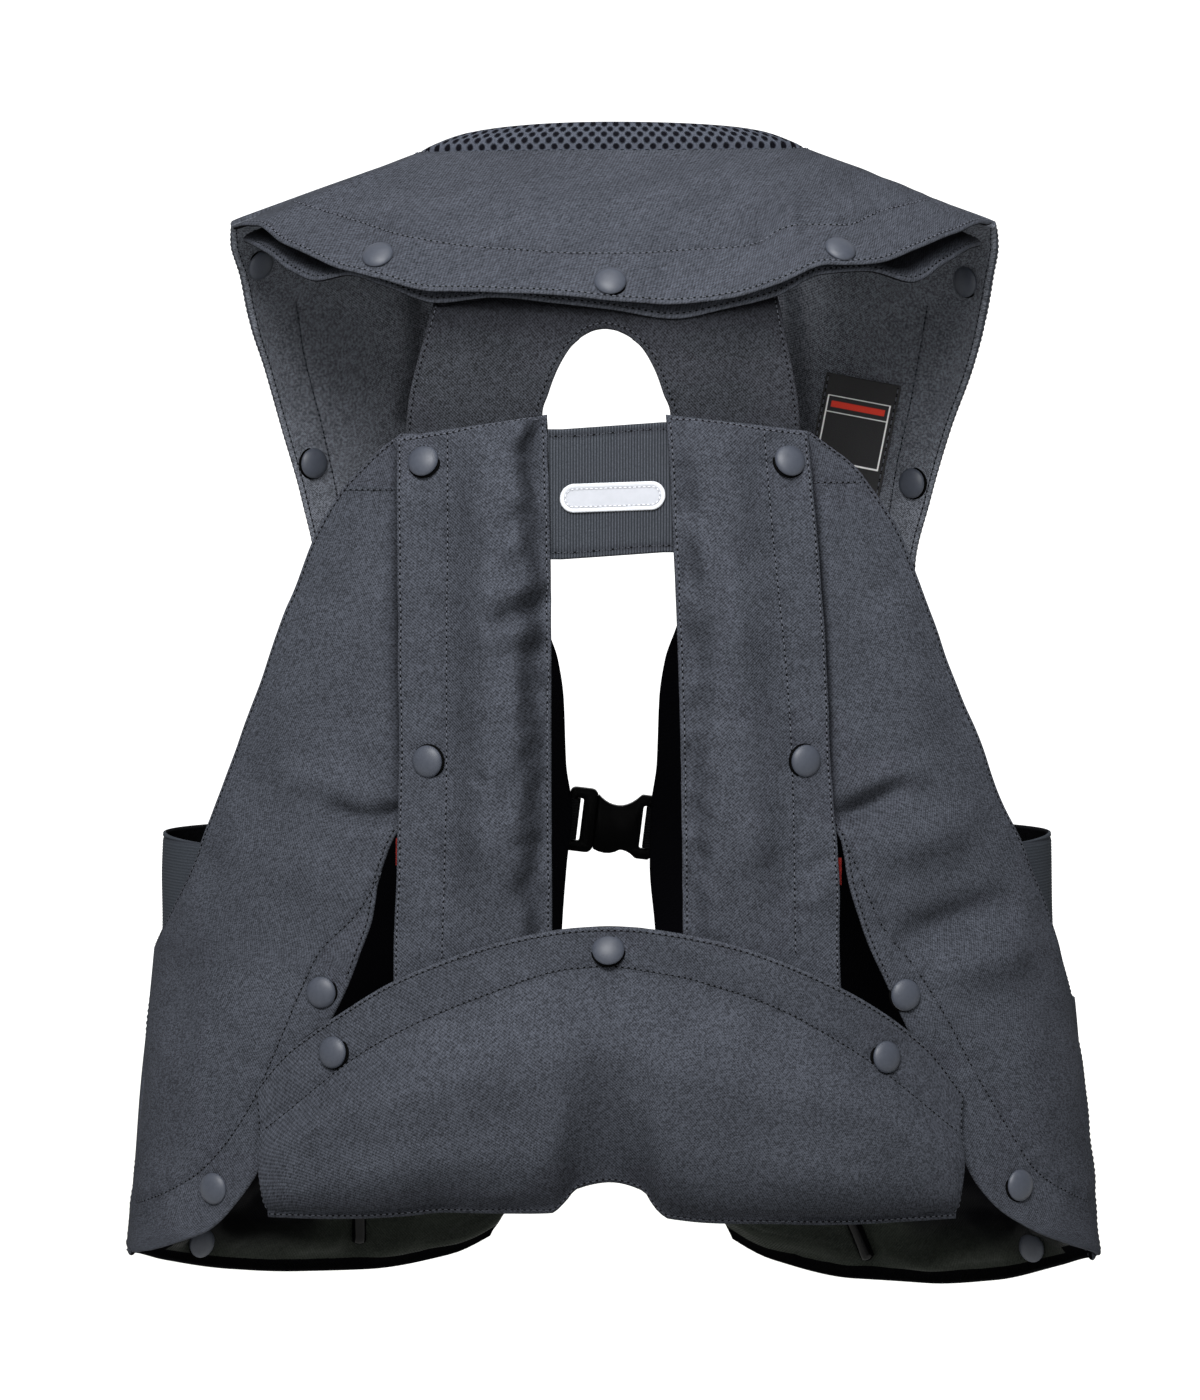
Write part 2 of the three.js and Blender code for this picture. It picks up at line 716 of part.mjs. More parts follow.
function sideElastic(side, sign) {
  const columns = 11;
  const points = grid(3, columns, (row, column) => {
    const degrees = THREE.MathUtils.lerp(SIDE_ELASTIC.from, SIDE_ELASTIC.to, column / (columns - 1));
    const z = THREE.MathUtils.lerp(SIDE_ELASTIC.top, SIDE_ELASTIC.bottom, row / 2);
    const { topHalfWidth, halfDepth: ringDepth } = SIDE_ELASTIC[side];
    const ringWidth = THREE.MathUtils.lerp(topHalfWidth, SIDE_ELASTIC.bottomHalfWidth, row / 2);
    const ring = { halfWidth: ringWidth, halfDepth: ringDepth };
    return ringPoint(sign * THREE.MathUtils.degToRad(degrees), ring, z);
  });
  place(`side_elastic_${side}`, wall(points, 0, ELASTIC), SLATE_ELASTIC);
}
sideElastic('left', -1);
sideElastic('right', 1);

// Red cloth edge in each slit, under the strap

function slitTab(side, sign) {
  const points = grid(3, 3, (row, column) => {
    const x = THREE.MathUtils.lerp(SLIT_TAB.inner, SLIT_TAB.outer, column / 2);
    return onBack(sign * x, THREE.MathUtils.lerp(SLIT_TAB.top, SLIT_TAB.bottom, row / 2));
  });
  const lift = STRAP_LIFT - LAYER_GAP - SLIT_TAB.thick;
  place(`slit_tab_${side}`, wall(points, lift, SLIT_TAB.thick), RED_CLOTH);
}
slitTab('left', -1);
slitTab('right', 1);

// Short tubes inside the front hem

function hemTube(side) {
  const { topX, lowX, low } = HEM_TUBE[side];
  const lift = -HEM_TUBE.radius - HEM_TUBE.gap;
  const steps = 4;
  const route = Array.from({ length: steps + 1 }, (_, i) => {
    const x = THREE.MathUtils.lerp(topX, lowX, i / steps);
    const z = THREE.MathUtils.lerp(HEM_TUBE.top, low, i / steps);
    const point = bodyPoint(frontAngle(x, z), z);
    const out = new THREE.Vector3(point.x / halfWidth(z) ** 2, point.y / halfDepth(z) ** 2, 0);
    return point.addScaledVector(out.normalize(), lift);
  });
  const section = new THREE.Shape().absarc(0, 0, HEM_TUBE.radius, 0, 2 * Math.PI, false);
  const geometry = new THREE.ExtrudeGeometry(section, {
    steps, curveSegments: 8, extrudePath: new THREE.CatmullRomCurve3(route),
  });
  place(`hem_tube_${side}`, geometry, BLACK_RUBBER);
}
hemTube('left');
hemTube('right');

// Label, inside the right front panel

function label() {
  const points = grid(4, 4, (row, column) => {
    const across = LABEL.width * (column / 3 - 0.5);
    const up = LABEL.height * (0.5 - row / 3);
    const x = LABEL.x + across * Math.cos(LABEL.lean) - up * Math.sin(LABEL.lean);
    const z = LABEL.z + across * Math.sin(LABEL.lean) + up * Math.cos(LABEL.lean);
    return bodyPoint(frontAngle(x, z), z);
  });
  place('label', wall(points, -HOLLOW_GAP - LABEL.thick, LABEL.thick), BLACK_LABEL);
}
label();

// Buckle: a plug with a webbing slot, latched in a socket with a waist

// A flat outline in X and Z, given its thickness along Y
function plate(shape, back, thick) {
  const geometry = new THREE.ExtrudeGeometry(shape, {
    depth: thick, bevelEnabled: false, curveSegments: 5,
  });
  return tilted(geometry.rotateX(Math.PI / 2).translate(0, back + thick, 0));
}

function tilted(geometry) {
  return geometry.rotateY(BUCKLE.tilt).translate(0, 0, BUCKLE.z);
}

function roundedBox(x0, x1, half, radius) {
  const shape = new THREE.Shape();
  shape.moveTo(x0 + radius, -half);
  shape.lineTo(x1 - radius, -half);
  shape.quadraticCurveTo(x1, -half, x1, -half + radius);
  shape.lineTo(x1, half - radius);
  shape.quadraticCurveTo(x1, half, x1 - radius, half);
  shape.lineTo(x0 + radius, half);
  shape.quadraticCurveTo(x0, half, x0, half - radius);
  shape.lineTo(x0, -half + radius);
  shape.quadraticCurveTo(x0, -half, x0 + radius, -half);
  return shape;
}

function webbingSlot(sign) {
  const half = BUCKLE.webHeight / 2 + SEAT_GAP;
  const near = BUCKLE.barX - BUCKLE.bar - BUCKLE.slot;
  const far = BUCKLE.barX - BUCKLE.bar;
  const shape = sign < 0 ? roundedBox(-far, -near, half, 1) : roundedBox(near, far, half, 1);
  return plate(shape, BUCKLE.back - 1, BUCKLE.thick + 2);
}

function buckle() {
  const half = BUCKLE.height / 2;
  const { back, thick, barX, plugEnd, socketStart, waist } = BUCKLE;
  const plug = plate(roundedBox(-barX, plugEnd, half, 3), back, thick);
  place('buckle_plug', cut(plug, webbingSlot(-1)), BLACK_PLASTIC);
  const shape = new THREE.Shape();
  shape.moveTo(socketStart, -half + 2);
  shape.quadraticCurveTo(0, -half - 1, 5, -half + waist);
  shape.quadraticCurveTo(9, -half + waist, 12, -half);
  shape.lineTo(barX - 2, -half);
  shape.lineTo(barX, -half + 2);
  shape.lineTo(barX, half - 2);
  shape.lineTo(barX - 2, half);
  shape.lineTo(12, half);
  shape.quadraticCurveTo(7, half - 2 * waist, 2, half - 2 * waist);
  shape.quadraticCurveTo(-3, half - 2 * waist, socketStart, half - 2);
  const socket = plate(shape, back, thick);
  place('buckle_socket', cut(socket, webbingSlot(1)), BLACK_PLASTIC);
}
buckle();

// Where a ray along Y meets a piece: from outside the back or front, or from inside
function meet(host, x, z, startY, wayY) {
  const ray = new THREE.Raycaster(new THREE.Vector3(x, startY, z), new THREE.Vector3(0, wayY, 0));
  host.updateMatrixWorld();
  return ray.intersectObject(host)[0];
}

// Webbing from the front panel's outer face, round the buckle's bar and back on itself
function buckleWebbing(side, sign) {
  const panel = vest.getObjectByName(`front_panel_${side}`);
  const onPanel = BUCKLE.webStops.map((x) => {
    const middle = BUCKLE.z - sign * x * Math.sin(BUCKLE.tilt);
    const heights = [-1, 0, 1].map((share) => middle + share * BUCKLE.webHeight / 2);
    const faces = heights.map((z) => meet(panel, sign * x, z, RAY_START, -1).point.y);
    return new THREE.Vector2(x, Math.max(...faces) + LAYER_GAP + WEBBING / 2);
  });
  const barMiddle = BUCKLE.barX - BUCKLE.bar / 2;
  const barFront = BUCKLE.back + BUCKLE.thick + LAYER_GAP + WEBBING / 2;
  const barBack = BUCKLE.back - LAYER_GAP - WEBBING / 2;
  const inSlot = BUCKLE.barX - BUCKLE.bar - BUCKLE.slot / 2 + BUCKLE.webShift;
  const path = [
    ...onPanel,
    new THREE.Vector2(barMiddle + 1, barBack),
    new THREE.Vector2(inSlot + 0.4, barBack + 0.4),
    new THREE.Vector2(inSlot, barBack + 1.6),
    new THREE.Vector2(inSlot, barFront - 1.6),
    new THREE.Vector2(inSlot + 0.6, barFront),
    new THREE.Vector2(barMiddle + 3.2, barFront),
  ];
  const sides = ribbonOutline(path, WEBBING);
  const shape = new THREE.Shape(sides.map((point) => new THREE.Vector2(sign * point.x, point.y)));
  const geometry = new THREE.ExtrudeGeometry(shape, {
    depth: BUCKLE.webHeight, bevelEnabled: false,
  });
  geometry.translate(0, 0, -BUCKLE.webHeight / 2);
  place(`buckle_webbing_${side}`, tilted(geometry), BLACK_WEBBING);
}

// Both edges of a ribbon of even thickness along a flat path, as one closed outline
function ribbonOutline(path, thick) {
  const edge = (half) => path.map((point, i) => {
    const before = path[Math.max(i - 1, 0)];
    const after = path[Math.min(i + 1, path.length - 1)];
    const way = after.clone().sub(before).normalize();
    return new THREE.Vector2(point.x - way.y * half, point.y + way.x * half);
  });
  return [...edge(thick / 2), ...edge(-thick / 2).reverse()];
}
buckleWebbing('left', -1);
buckleWebbing('right', 1);

// Snaps: domed caps seated on the faces that carry them

function snapProfile() {
  const { radius, rim, side, crown } = SNAP;
  const dome = SNAP_DOME.map(({ radiusShare, riseShare }) => (
    new THREE.Vector2(radius * radiusShare, THREE.MathUtils.lerp(side, crown, riseShare))
  ));
  return [
    new THREE.Vector2(0, 0),
    new THREE.Vector2(radius - rim, 0),
    new THREE.Vector2(radius, rim),
    ...dome,
  ];
}

// How far the face round a cap's middle rises above the flat that the cap would sit on
function riseUnderRim(carrier, middle, normal, turn) {
  const start = SNAP.radius;
  const rises = Array.from({ length: RIM_CHECKS }, (_, i) => {
    const angle = 2 * Math.PI * i / RIM_CHECKS;
    const rim = new THREE.Vector3(Math.cos(angle), Math.sin(angle), 0).multiplyScalar(SNAP.radius);
    const from = rim.applyQuaternion(turn).add(middle).addScaledVector(normal, start);
    const down = new THREE.Raycaster(from, normal.clone().negate());
    const hit = down.intersectObject(carrier)[0];
    return hit ? start - hit.distance : 0;
  });
  return Math.max(0, ...rises);
}

function snap({ name, host, x, z, inside }) {
  const carrier = vest.getObjectByName(host);
  const hit = inside ? meet(carrier, x, z, 0, 1) : meet(carrier, x, z, -RAY_START, 1);
  const normal = hit.face.normal;
  const geometry = new THREE.LatheGeometry(snapProfile(), SNAP.facets).rotateX(Math.PI / 2);
  const cap = place(name, geometry, GUNMETAL);
  cap.quaternion.setFromUnitVectors(new THREE.Vector3(0, 0, 1), normal);
  const stand = riseUnderRim(carrier, hit.point, normal, cap.quaternion) + SNAP_GAP;
  cap.position.copy(hit.point).addScaledVector(normal, stand);
}
SNAPS.forEach(snap);

export default vest;
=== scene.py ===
# %% [markdown]
# # An airbag vest for a young rider, seen from behind
# The vest hangs in its worn form: a cape collar over the shoulders, two padded straps down the back, a
# kidney flap, side panels with elastic under the arms, and front panels that a buckle closes. Its plain
# solids come packed as a frame in metres. This lesson dresses that frame: every cloth piece is laid again
# as a fine grid with rounded hems, folds, puckers and real stitches, in the same place as its solid.

# %% Load the frame
import math

import bmesh
import bpy
import numpy as np
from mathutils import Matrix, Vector, noise
from mathutils.bvhtree import BVHTree


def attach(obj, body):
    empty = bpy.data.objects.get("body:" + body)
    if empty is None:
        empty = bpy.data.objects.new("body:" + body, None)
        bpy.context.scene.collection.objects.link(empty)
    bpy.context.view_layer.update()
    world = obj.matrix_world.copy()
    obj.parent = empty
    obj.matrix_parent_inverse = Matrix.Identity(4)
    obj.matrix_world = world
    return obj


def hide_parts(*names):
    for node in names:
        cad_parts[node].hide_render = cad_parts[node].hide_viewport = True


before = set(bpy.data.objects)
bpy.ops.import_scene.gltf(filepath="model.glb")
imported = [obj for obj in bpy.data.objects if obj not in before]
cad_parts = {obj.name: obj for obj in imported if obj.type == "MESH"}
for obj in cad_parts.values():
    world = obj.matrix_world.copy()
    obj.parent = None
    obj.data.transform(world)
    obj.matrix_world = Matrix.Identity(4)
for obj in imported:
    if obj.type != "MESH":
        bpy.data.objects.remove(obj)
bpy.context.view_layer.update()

MM = 0.001


def put(name, data):
    """A new object of this data, linked into the scene."""
    made = bpy.data.objects.new(name, data)
    bpy.context.scene.collection.objects.link(made)
    return made


def join_vest(piece, slot, *nodes):
    """Puts a piece on the vest's one body and hides the solids it stands for; the slot is not used."""
    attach(piece, "root")
    if nodes:
        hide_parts(*nodes)


print("frame nodes:", len(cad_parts))

# %% [markdown]
# ## Camera
# The picture was taken from behind at about chest height, looking down a little. A long lens from about
# two metres keeps the sides of the vest nearly upright, so the focal length is worked out from the scale
# of 2.4 pixels per millimetre at the middle of the body, in a picture 1400 pixels tall.

# %% Camera at the height of the shoulder blades
PICTURE_HEIGHT = 1400
SENSOR = 36.0
PIXELS_PER_MM = 2.4
VIEW_DISTANCE = 1900.0
VIEW_DROP = math.radians(3.5)
VIEW_TARGET = np.array([-5.0, 0.0, -202.5])

view_way = np.array([0.0, math.cos(VIEW_DROP), -math.sin(VIEW_DROP)])
camera_data = bpy.data.cameras.new("photo_view")
camera_data.lens = PIXELS_PER_MM * VIEW_DISTANCE / PICTURE_HEIGHT * SENSOR
camera_data.sensor_width = SENSOR
camera = put("photo_view", camera_data)
camera.location = (VIEW_TARGET - VIEW_DISTANCE * view_way) * MM
camera.rotation_euler = (math.pi / 2 - VIEW_DROP, 0, 0)
bpy.context.scene.camera = camera
print("lens in mm:", round(camera_data.lens, 1))

# %% [markdown]
# ## Light and backdrop
# The vest hangs in front of plain white, and dark cloth needs one clear main light or its folds vanish. A
# bright world would light every fold alike, so the world only glows, and a lit plane far behind the vest
# makes the white. A sun with a wide disc, high behind the camera and a little to the left, models the folds
# softly and leaves the underside of each bulge dark. A near lamp fades towards the hem, a top lamp lifts
# the shoulders, and a soft spot behind the camera reaches into the openings. The pale floor lies well
# below, so the vest's shadow stays out of view.

# %% World and lamps
WORLD_GLOW = 0.45
SUN = {"way": (0.20, 0.74, -0.645), "strength": 4.8, "disc": 20}
NEAR_LAMP = {"place": (-0.03, -0.95, 0.46), "aim": (0, 0, -0.06), "watts": 16.5, "size": 0.45}
TOP_LAMP = {"place": (0.02, -0.30, 0.75), "aim": (0, -0.02, 0), "watts": 4.5, "size": 0.40}
FILL_SPOT = {"place": (0, -2.4, -0.02), "aim": (0, 0, 0.05), "watts": 115, "cone": 17, "soft": 0.3}

bpy.context.scene.view_settings.view_transform = "Standard"
world = bpy.data.worlds.new("white_studio")
world.use_nodes = True
world.node_tree.nodes["Background"].inputs["Color"].default_value = (1, 1, 1, 1)
world.node_tree.nodes["Background"].inputs["Strength"].default_value = WORLD_GLOW
bpy.context.scene.world = world


def lamp(name, kind, energy, place, aim):
    light = bpy.data.lights.new(name, kind)
    light.energy = energy
    made = put(name, light)
    made.location = place
    made.rotation_euler = (Vector(aim) - Vector(place)).to_track_quat("-Z", "Y").to_euler()
    return light


sun = lamp("wide_sun", "SUN", SUN["strength"], (0, 0, 0), SUN["way"])
sun.angle = math.radians(SUN["disc"])
for name, row in (("near_lamp", NEAR_LAMP), ("top_lamp", TOP_LAMP)):
    square = lamp(name, "AREA", row["watts"], row["place"], row["aim"])
    square.size = row["size"]
spot = lamp("fill_spot", "SPOT", FILL_SPOT["watts"], FILL_SPOT["place"], FILL_SPOT["aim"])
spot.spot_size = math.radians(FILL_SPOT["cone"])
spot.spot_blend = 1.0
spot.shadow_soft_size = FILL_SPOT["soft"]
print("world glow", WORLD_GLOW, "and lamps:", [light.name for light in bpy.data.lights])

# %% Floor and backdrop
FLOOR = {"z": -0.80, "half_width": 9, "near": -6, "far": 12}
BACKDROP = {"y": 3.2, "half_width": 4.5, "low": -3.0, "high": 4.5}


def stage_plane(name, corners):
    mesh = bpy.data.meshes.new(name)
    mesh.from_pydata(corners, [], [(0, 1, 3, 2)])
    put(name, mesh)
    return mesh


floor_mesh = stage_plane("floor", [(x, y, FLOOR["z"]) for y in (FLOOR["near"], FLOOR["far"])
                                   for x in (-FLOOR["half_width"], FLOOR["half_width"])])
backdrop_mesh = stage_plane("backdrop", [(x, BACKDROP["y"], z) for z in (BACKDROP["low"], BACKDROP["high"])
                                         for x in (-BACKDROP["half_width"], BACKDROP["half_width"])])
print("floor at", FLOOR["z"], "m, backdrop at", BACKDROP["y"], "m")

# %% [markdown]
# ## Shader helpers
# Every finish here is made of Blender's own texture nodes, so it has detail at any distance and needs no
# image. Short helpers add a node with its settings and give back a fresh material with its shader. Cloth
# reads its weave from an attribute named `grain`, the distance along the cloth in metres, which follows
# each piece round the body as a printed pattern would.

# %% Node helpers
def feed(tree, socket, value):
    """Links another node's output to a socket, or sets a plain value on it."""
    if isinstance(value, bpy.types.NodeSocket):
        tree.links.new(value, socket)
    else:
        socket.default_value = value


def node(tree, kind, sockets=None, **settings):
    """A new node with its settings; its sockets are fed by name or number."""
    made = tree.nodes.new(kind)
    for name, value in settings.items():
        setattr(made, name, value)
    for name, value in (sockets or {}).items():
        feed(tree, made.inputs[name], value)
    return made


def new_finish(name, roughness, specular):
    material = bpy.data.materials.new(name)
    material.use_nodes = True
    shader = material.node_tree.nodes["Principled BSDF"]
    shader.inputs["Roughness"].default_value = roughness
    shader.inputs["Specular IOR Level"].default_value = specular
    return material, material.node_tree, shader


def attribute(tree, name, output="Vector"):
    return node(tree, "ShaderNodeAttribute", attribute_name=name).outputs[output]


def tone(red, green, blue):
    return (red, green, blue, 1.0)


print("a tone for a socket:", tone(0.1, 0.2, 0.3))

# %% Helpers for one texture or one sum
def band_scale(pitch):
    """The Wave node's scale for one band each pitch metres."""
    return math.tau / (20 * pitch)


def speckle(tree, place, scale, detail, roughness=0.5):
    sockets = {"Vector": place, "Scale": scale, "Detail": detail, "Roughness": roughness}
    return node(tree, "ShaderNodeTexNoise", sockets).outputs["Fac"]


def spread(tree, value, low, high, to_low=0.0, to_high=1.0):
    """Maps low to to_low and high to to_high, and holds those ends outside."""
    sockets = {"Value": value, "From Min": low, "From Max": high, "To Min": to_low, "To Max": to_high}
    return node(tree, "ShaderNodeMapRange", sockets).outputs[0]


def times(tree, one, two):
    return node(tree, "ShaderNodeMath", {0: one, 1: two}, operation="MULTIPLY").outputs[0]


def mix(tree, factor, low, high, way="MIX"):
    made = node(tree, "ShaderNodeMix", data_type="RGBA", blend_type=way)
    for number, value in ((0, factor), (6, low), (7, high)):
        feed(tree, made.inputs[number], value)
    return made.outputs[2]


def bump(tree, shader, height, distance, strength):
    made = node(tree, "ShaderNodeBump", {"Height": height, "Distance": distance, "Strength": strength})
    tree.links.new(made.outputs["Normal"], shader.inputs["Normal"])


print("wave scale for ribs 1 mm apart:", round(band_scale(0.001), 1))

# %% [markdown]
# ## Twill and lining
# The shell is a charcoal twill: threads cross so that fine ribs run on the slant, about 0.9 mm apart, and
# each short float of yarn on top is a little lighter or darker than the next. A band texture gives the ribs
# and the bump. White noise on a lattice of 0.8 by 0.4 mm gives each float one shade, and slow noise clouds
# the cloth. An attribute named `edge` tells the shader where turned hems get a faint painted highlight, and a
# second attribute where the cloth lies darker along seams. Far above 1, that attribute paints a deep shade
# into hollows that soft light hardly reaches. The lining inside is a smooth black cloth, made near black so
# that it also paints the shade inside the vest, and satin has the same weave with more gloss.

# %% Cloth finishes
TWILL_PITCH = 0.0009
TWILL_SLANT = math.radians(45)
FLOAT_LONG = 0.0008
FLOAT_WIDE = 0.0004
SLUB = 0.0006
SLUB_SHARE = 0.15
RIB_SHARE = 0.28
RIB_RELIEF = 0.0002
CLOUD_SCALE = 24.0
CLOUD_TONES = (0.86, 1.12)
# Turned hems get a faint painted highlight; seams and hollows get painted shade.
HEM_HIGHLIGHT_WIDTH = 1.5
HEM_HIGHLIGHT_SHARE = 0.02
HEM_HIGHLIGHT_TONE = (0.16, 0.17, 0.19)
SEAM_SHADE = 0.14
SHADE_TONE = (0.0015, 0.0015, 0.002)


def woven(name, dark, light, roughness, specular, contrast=1.0):
    material, tree, shader = new_finish(name, roughness, specular)
    grain = attribute(tree, "grain")
    turned = node(tree, "ShaderNodeMapping", {"Vector": grain, "Rotation": (0, 0, TWILL_SLANT)}).outputs[0]
    wave = {"Vector": turned, "Scale": band_scale(TWILL_PITCH), "Distortion": 0.5, "Detail": 1.0}
    ribs = node(tree, "ShaderNodeTexWave", wave).outputs["Fac"]
    lattice = {0: turned, 1: (FLOAT_LONG, FLOAT_WIDE, 1.0)}
    floats = node(tree, "ShaderNodeVectorMath", lattice, operation="SNAP").outputs[0]
    yarns = node(tree, "ShaderNodeTexWhiteNoise", {"Vector": floats}).outputs["Value"]
    soft = mix(tree, SLUB_SHARE, yarns, speckle(tree, turned, 1 / SLUB, 3.0, 0.7))
    weave = mix(tree, RIB_SHARE, soft, ribs)
    share = spread(tree, weave, 0.5 - 0.5 / contrast, 0.5 + 0.5 / contrast)
    colour = mix(tree, share, tone(*dark), tone(*light))
    clouds = spread(tree, speckle(tree, grain, CLOUD_SCALE, 4.0, 0.6), 0.3, 0.7, *CLOUD_TONES)
    colour = mix(tree, 1.0, colour, clouds, "MULTIPLY")
    # A faint painted highlight on turned hems, then dark seams and painted shade.
    hem_highlight = spread(tree, attribute(tree, "edge", "Fac"), 0.0, HEM_HIGHLIGHT_WIDTH, HEM_HIGHLIGHT_SHARE, 0.0)
    colour = mix(tree, hem_highlight, colour, tone(*HEM_HIGHLIGHT_TONE))
    seam_and_shade = times(tree, attribute(tree, "seam_and_shade", "Fac"), SEAM_SHADE)
    colour = mix(tree, seam_and_shade, colour, tone(*SHADE_TONE))
    tree.links.new(colour, shader.inputs["Base Color"])
    bump(tree, shader, ribs, RIB_RELIEF, 0.5)
    return material


TWILL = woven("charcoal_twill", (0.0090, 0.0096, 0.0113), (0.0385, 0.0422, 0.0522), 0.9, 0.01, 1.15)
# A darker copy of the twill: painted shade for the yoke under the collar.
SHADOWED_TWILL = woven("shaded_twill", (0.0068, 0.0070, 0.0078), (0.0290, 0.0314, 0.0376), 0.9, 0.01, 1.35)
# A much lighter copy of the twill: painted light for the inner faces of the wings.
LIT_WING_TWILL = woven("lit_wing_twill", (0.0184, 0.0196, 0.0226), (0.092, 0.099, 0.116), 0.9, 0.01, 1.35)
# Near black: the lining's own dark cloth, and painted shade for the inside of the vest.
LINING_AND_SHADE = woven("black_lining_and_shade", (0.0004, 0.0004, 0.0005), (0.0018, 0.0018, 0.0020), 0.8, 0.0)
SATIN = woven("hem_satin", (0.0050, 0.0059, 0.0049), (0.0150, 0.0174, 0.0144), 0.32, 0.022)
RED_CLOTH = woven("red_cloth", (0.035, 0.002, 0.0015), (0.10, 0.007, 0.005), 0.85, 0.01)
print("cloth finishes:", TWILL.name, LIT_WING_TWILL.name, LINING_AND_SHADE.name, SATIN.name)

# %% [markdown]
# ## Elastic, thread and hardware finishes
# Ribbed elastic gets its ribs as real shape further down, and an attribute named `rib` paints shade into the
# grooves between them. Thread is a paler twist. The snap caps are painted metal: matte, with a faint
# mottling and a soft gloss. The buckle is satin moulded plastic, and the tubes in the hem are shiny rubber.
# The backdrop gives its own light, so it stays white whatever falls on it.

# %% Elastic, thread and hard finishes
YARN_SCALE = 1400.0
ELASTIC_SHADE = 0.4
ELASTIC_DARK = (0.006, 0.006, 0.008)
BACKDROP_GLOW = 1.1


def knitted(name, dark, light, roughness):
    material, tree, shader = new_finish(name, roughness, 0.01)
    yarns = speckle(tree, attribute(tree, "grain"), YARN_SCALE, 2.0)
    # The rib share paints shade into the grooves between ribs.
    share = times(tree, yarns, attribute(tree, "rib", "Fac"))
    colour = mix(tree, share, tone(*dark), tone(*light))
    # Dark seams, and painted shade in the fold under a side elastic's top edge.
    seam_and_shade = times(tree, attribute(tree, "seam_and_shade", "Fac"), ELASTIC_SHADE)
    colour = mix(tree, seam_and_shade, colour, tone(*ELASTIC_DARK))
    tree.links.new(colour, shader.inputs["Base Color"])
    bump(tree, shader, yarns, 0.0002, 0.4)
    return material


def mottled(name, dark, light, roughness, specular=0.5, size=0.0015):
    """A plain solid finish with slight mottling in its colour and its surface."""
    material, tree, shader = new_finish(name, roughness, specular)
    place = node(tree, "ShaderNodeTexCoord").outputs["Object"]
    spots = speckle(tree, place, 1 / size, 4.0)
    tree.links.new(mix(tree, spots, tone(*dark), tone(*light)), shader.inputs["Base Color"])
    bump(tree, shader, spots, 0.00004, 0.5)
    return material


ELASTIC = knitted("slate_elastic", (0.0105, 0.012, 0.0142), (0.056, 0.061, 0.073), 0.85)
SIDE_BAND = knitted("dark_elastic", (0.0110, 0.0124, 0.0148), (0.0315, 0.0360, 0.0435), 0.85)
THREAD = mottled("grey_thread", (0.026, 0.028, 0.034), (0.074, 0.079, 0.094), 0.75, 0.02, size=0.0004)
DARK_THREAD = mottled("dark_thread", (0.014, 0.015, 0.018), (0.040, 0.043, 0.051), 0.75, 0.02, size=0.0004)
# Black for needle holes, and for the painted shadow under the rim of each snap cap.
NEEDLE_HOLE_AND_SHADOW = mottled("needle_hole_and_shadow", (0.001, 0.001, 0.001), (0.002, 0.002, 0.002), 0.95, 0.0)
GUNMETAL = mottled("gunmetal_paint", (0.0180, 0.0208, 0.0280), (0.0275, 0.0312, 0.0410), 0.5, 0.22)
BLACK_PLASTIC = mottled("buckle_plastic", (0.0006, 0.0006, 0.0007), (0.0012, 0.0012, 0.0013), 0.35, 0.012)
RUBBER = mottled("tube_rubber", (0.0006, 0.0006, 0.0007), (0.0014, 0.0014, 0.0016), 0.14, 0.10)
FLOOR_WHITE = mottled("pale_floor", (0.66, 0.66, 0.64), (0.69, 0.69, 0.67), 0.9, 0.1, size=0.4)
floor_mesh.materials.append(FLOOR_WHITE)
LIT_WHITE = mottled("lit_backdrop", (0.1, 0.1, 0.1), (0.12, 0.12, 0.12), 0.9, 0.1, size=0.4)
lit_shader = LIT_WHITE.node_tree.nodes["Principled BSDF"]
lit_shader.inputs["Emission Color"].default_value = tone(1, 1, 1)
lit_shader.inputs["Emission Strength"].default_value = BACKDROP_GLOW
backdrop_mesh.materials.append(LIT_WHITE)
print("hard finishes:", GUNMETAL.name, BLACK_PLASTIC.name, RUBBER.name)

# %% [markdown]
# ## Tables and curves
# A garment is cut from a few sections, so each piece here starts as a short table with a row per section,
# in millimetres from the middle of the neck. A smooth curve runs through the rows without swinging past
# them, which a plain spline would do at sharp turns.

# %% Short tables read as smooth curves
def table(columns, rows):
    values = np.array(rows, float)
    return {name: values[:, i] for i, name in enumerate(columns.split())}


def through(knots, values, at):
    """A smooth curve through (knots, values), read at some places."""
    if knots[0] > knots[-1]:
        knots, values = knots[::-1], values[::-1]
    step = np.diff(knots)
    slope = np.diff(values) / step
    product = slope[:-1] * slope[1:]
    total = np.where(product > 0, slope[:-1] + slope[1:], 1.0)
    inside = np.where(product > 0, 2 * product / total, 0.0)
    tangent = np.concatenate([slope[:1], inside, slope[-1:]])
    at = np.clip(at, knots[0], knots[-1])
    i = np.clip(np.searchsorted(knots, at) - 1, 0, len(step) - 1)
    t = (at - knots[i]) / step[i]
    rise = values[i] + (values[i + 1] - values[i]) * (3 * t**2 - 2 * t**3)
    return rise + step[i] * ((t**3 - 2 * t**2 + t) * tangent[i] + (t**3 - t**2) * tangent[i + 1])


def read_all(rows, key, at):
    return {name: through(rows[key], column, at) for name, column in rows.items()}


def blend(low, high, share):
    return low + (high - low) * share


def span(column, share):
    """From the first value of a column to its last."""
    return blend(column[0], column[-1], share)


def smooth_step(share):
    share = np.clip(share, 0, 1)
    return share * share * (3 - 2 * share)


halfway = through(np.array([0.0, 1.0, 3.0]), np.array([0.0, 2.0, 2.0]), np.array([0.5, 2.0]))
print("curve through 0, 2, 2 at 0, 1, 3, read at 0.5 and 2:", halfway.round(2))

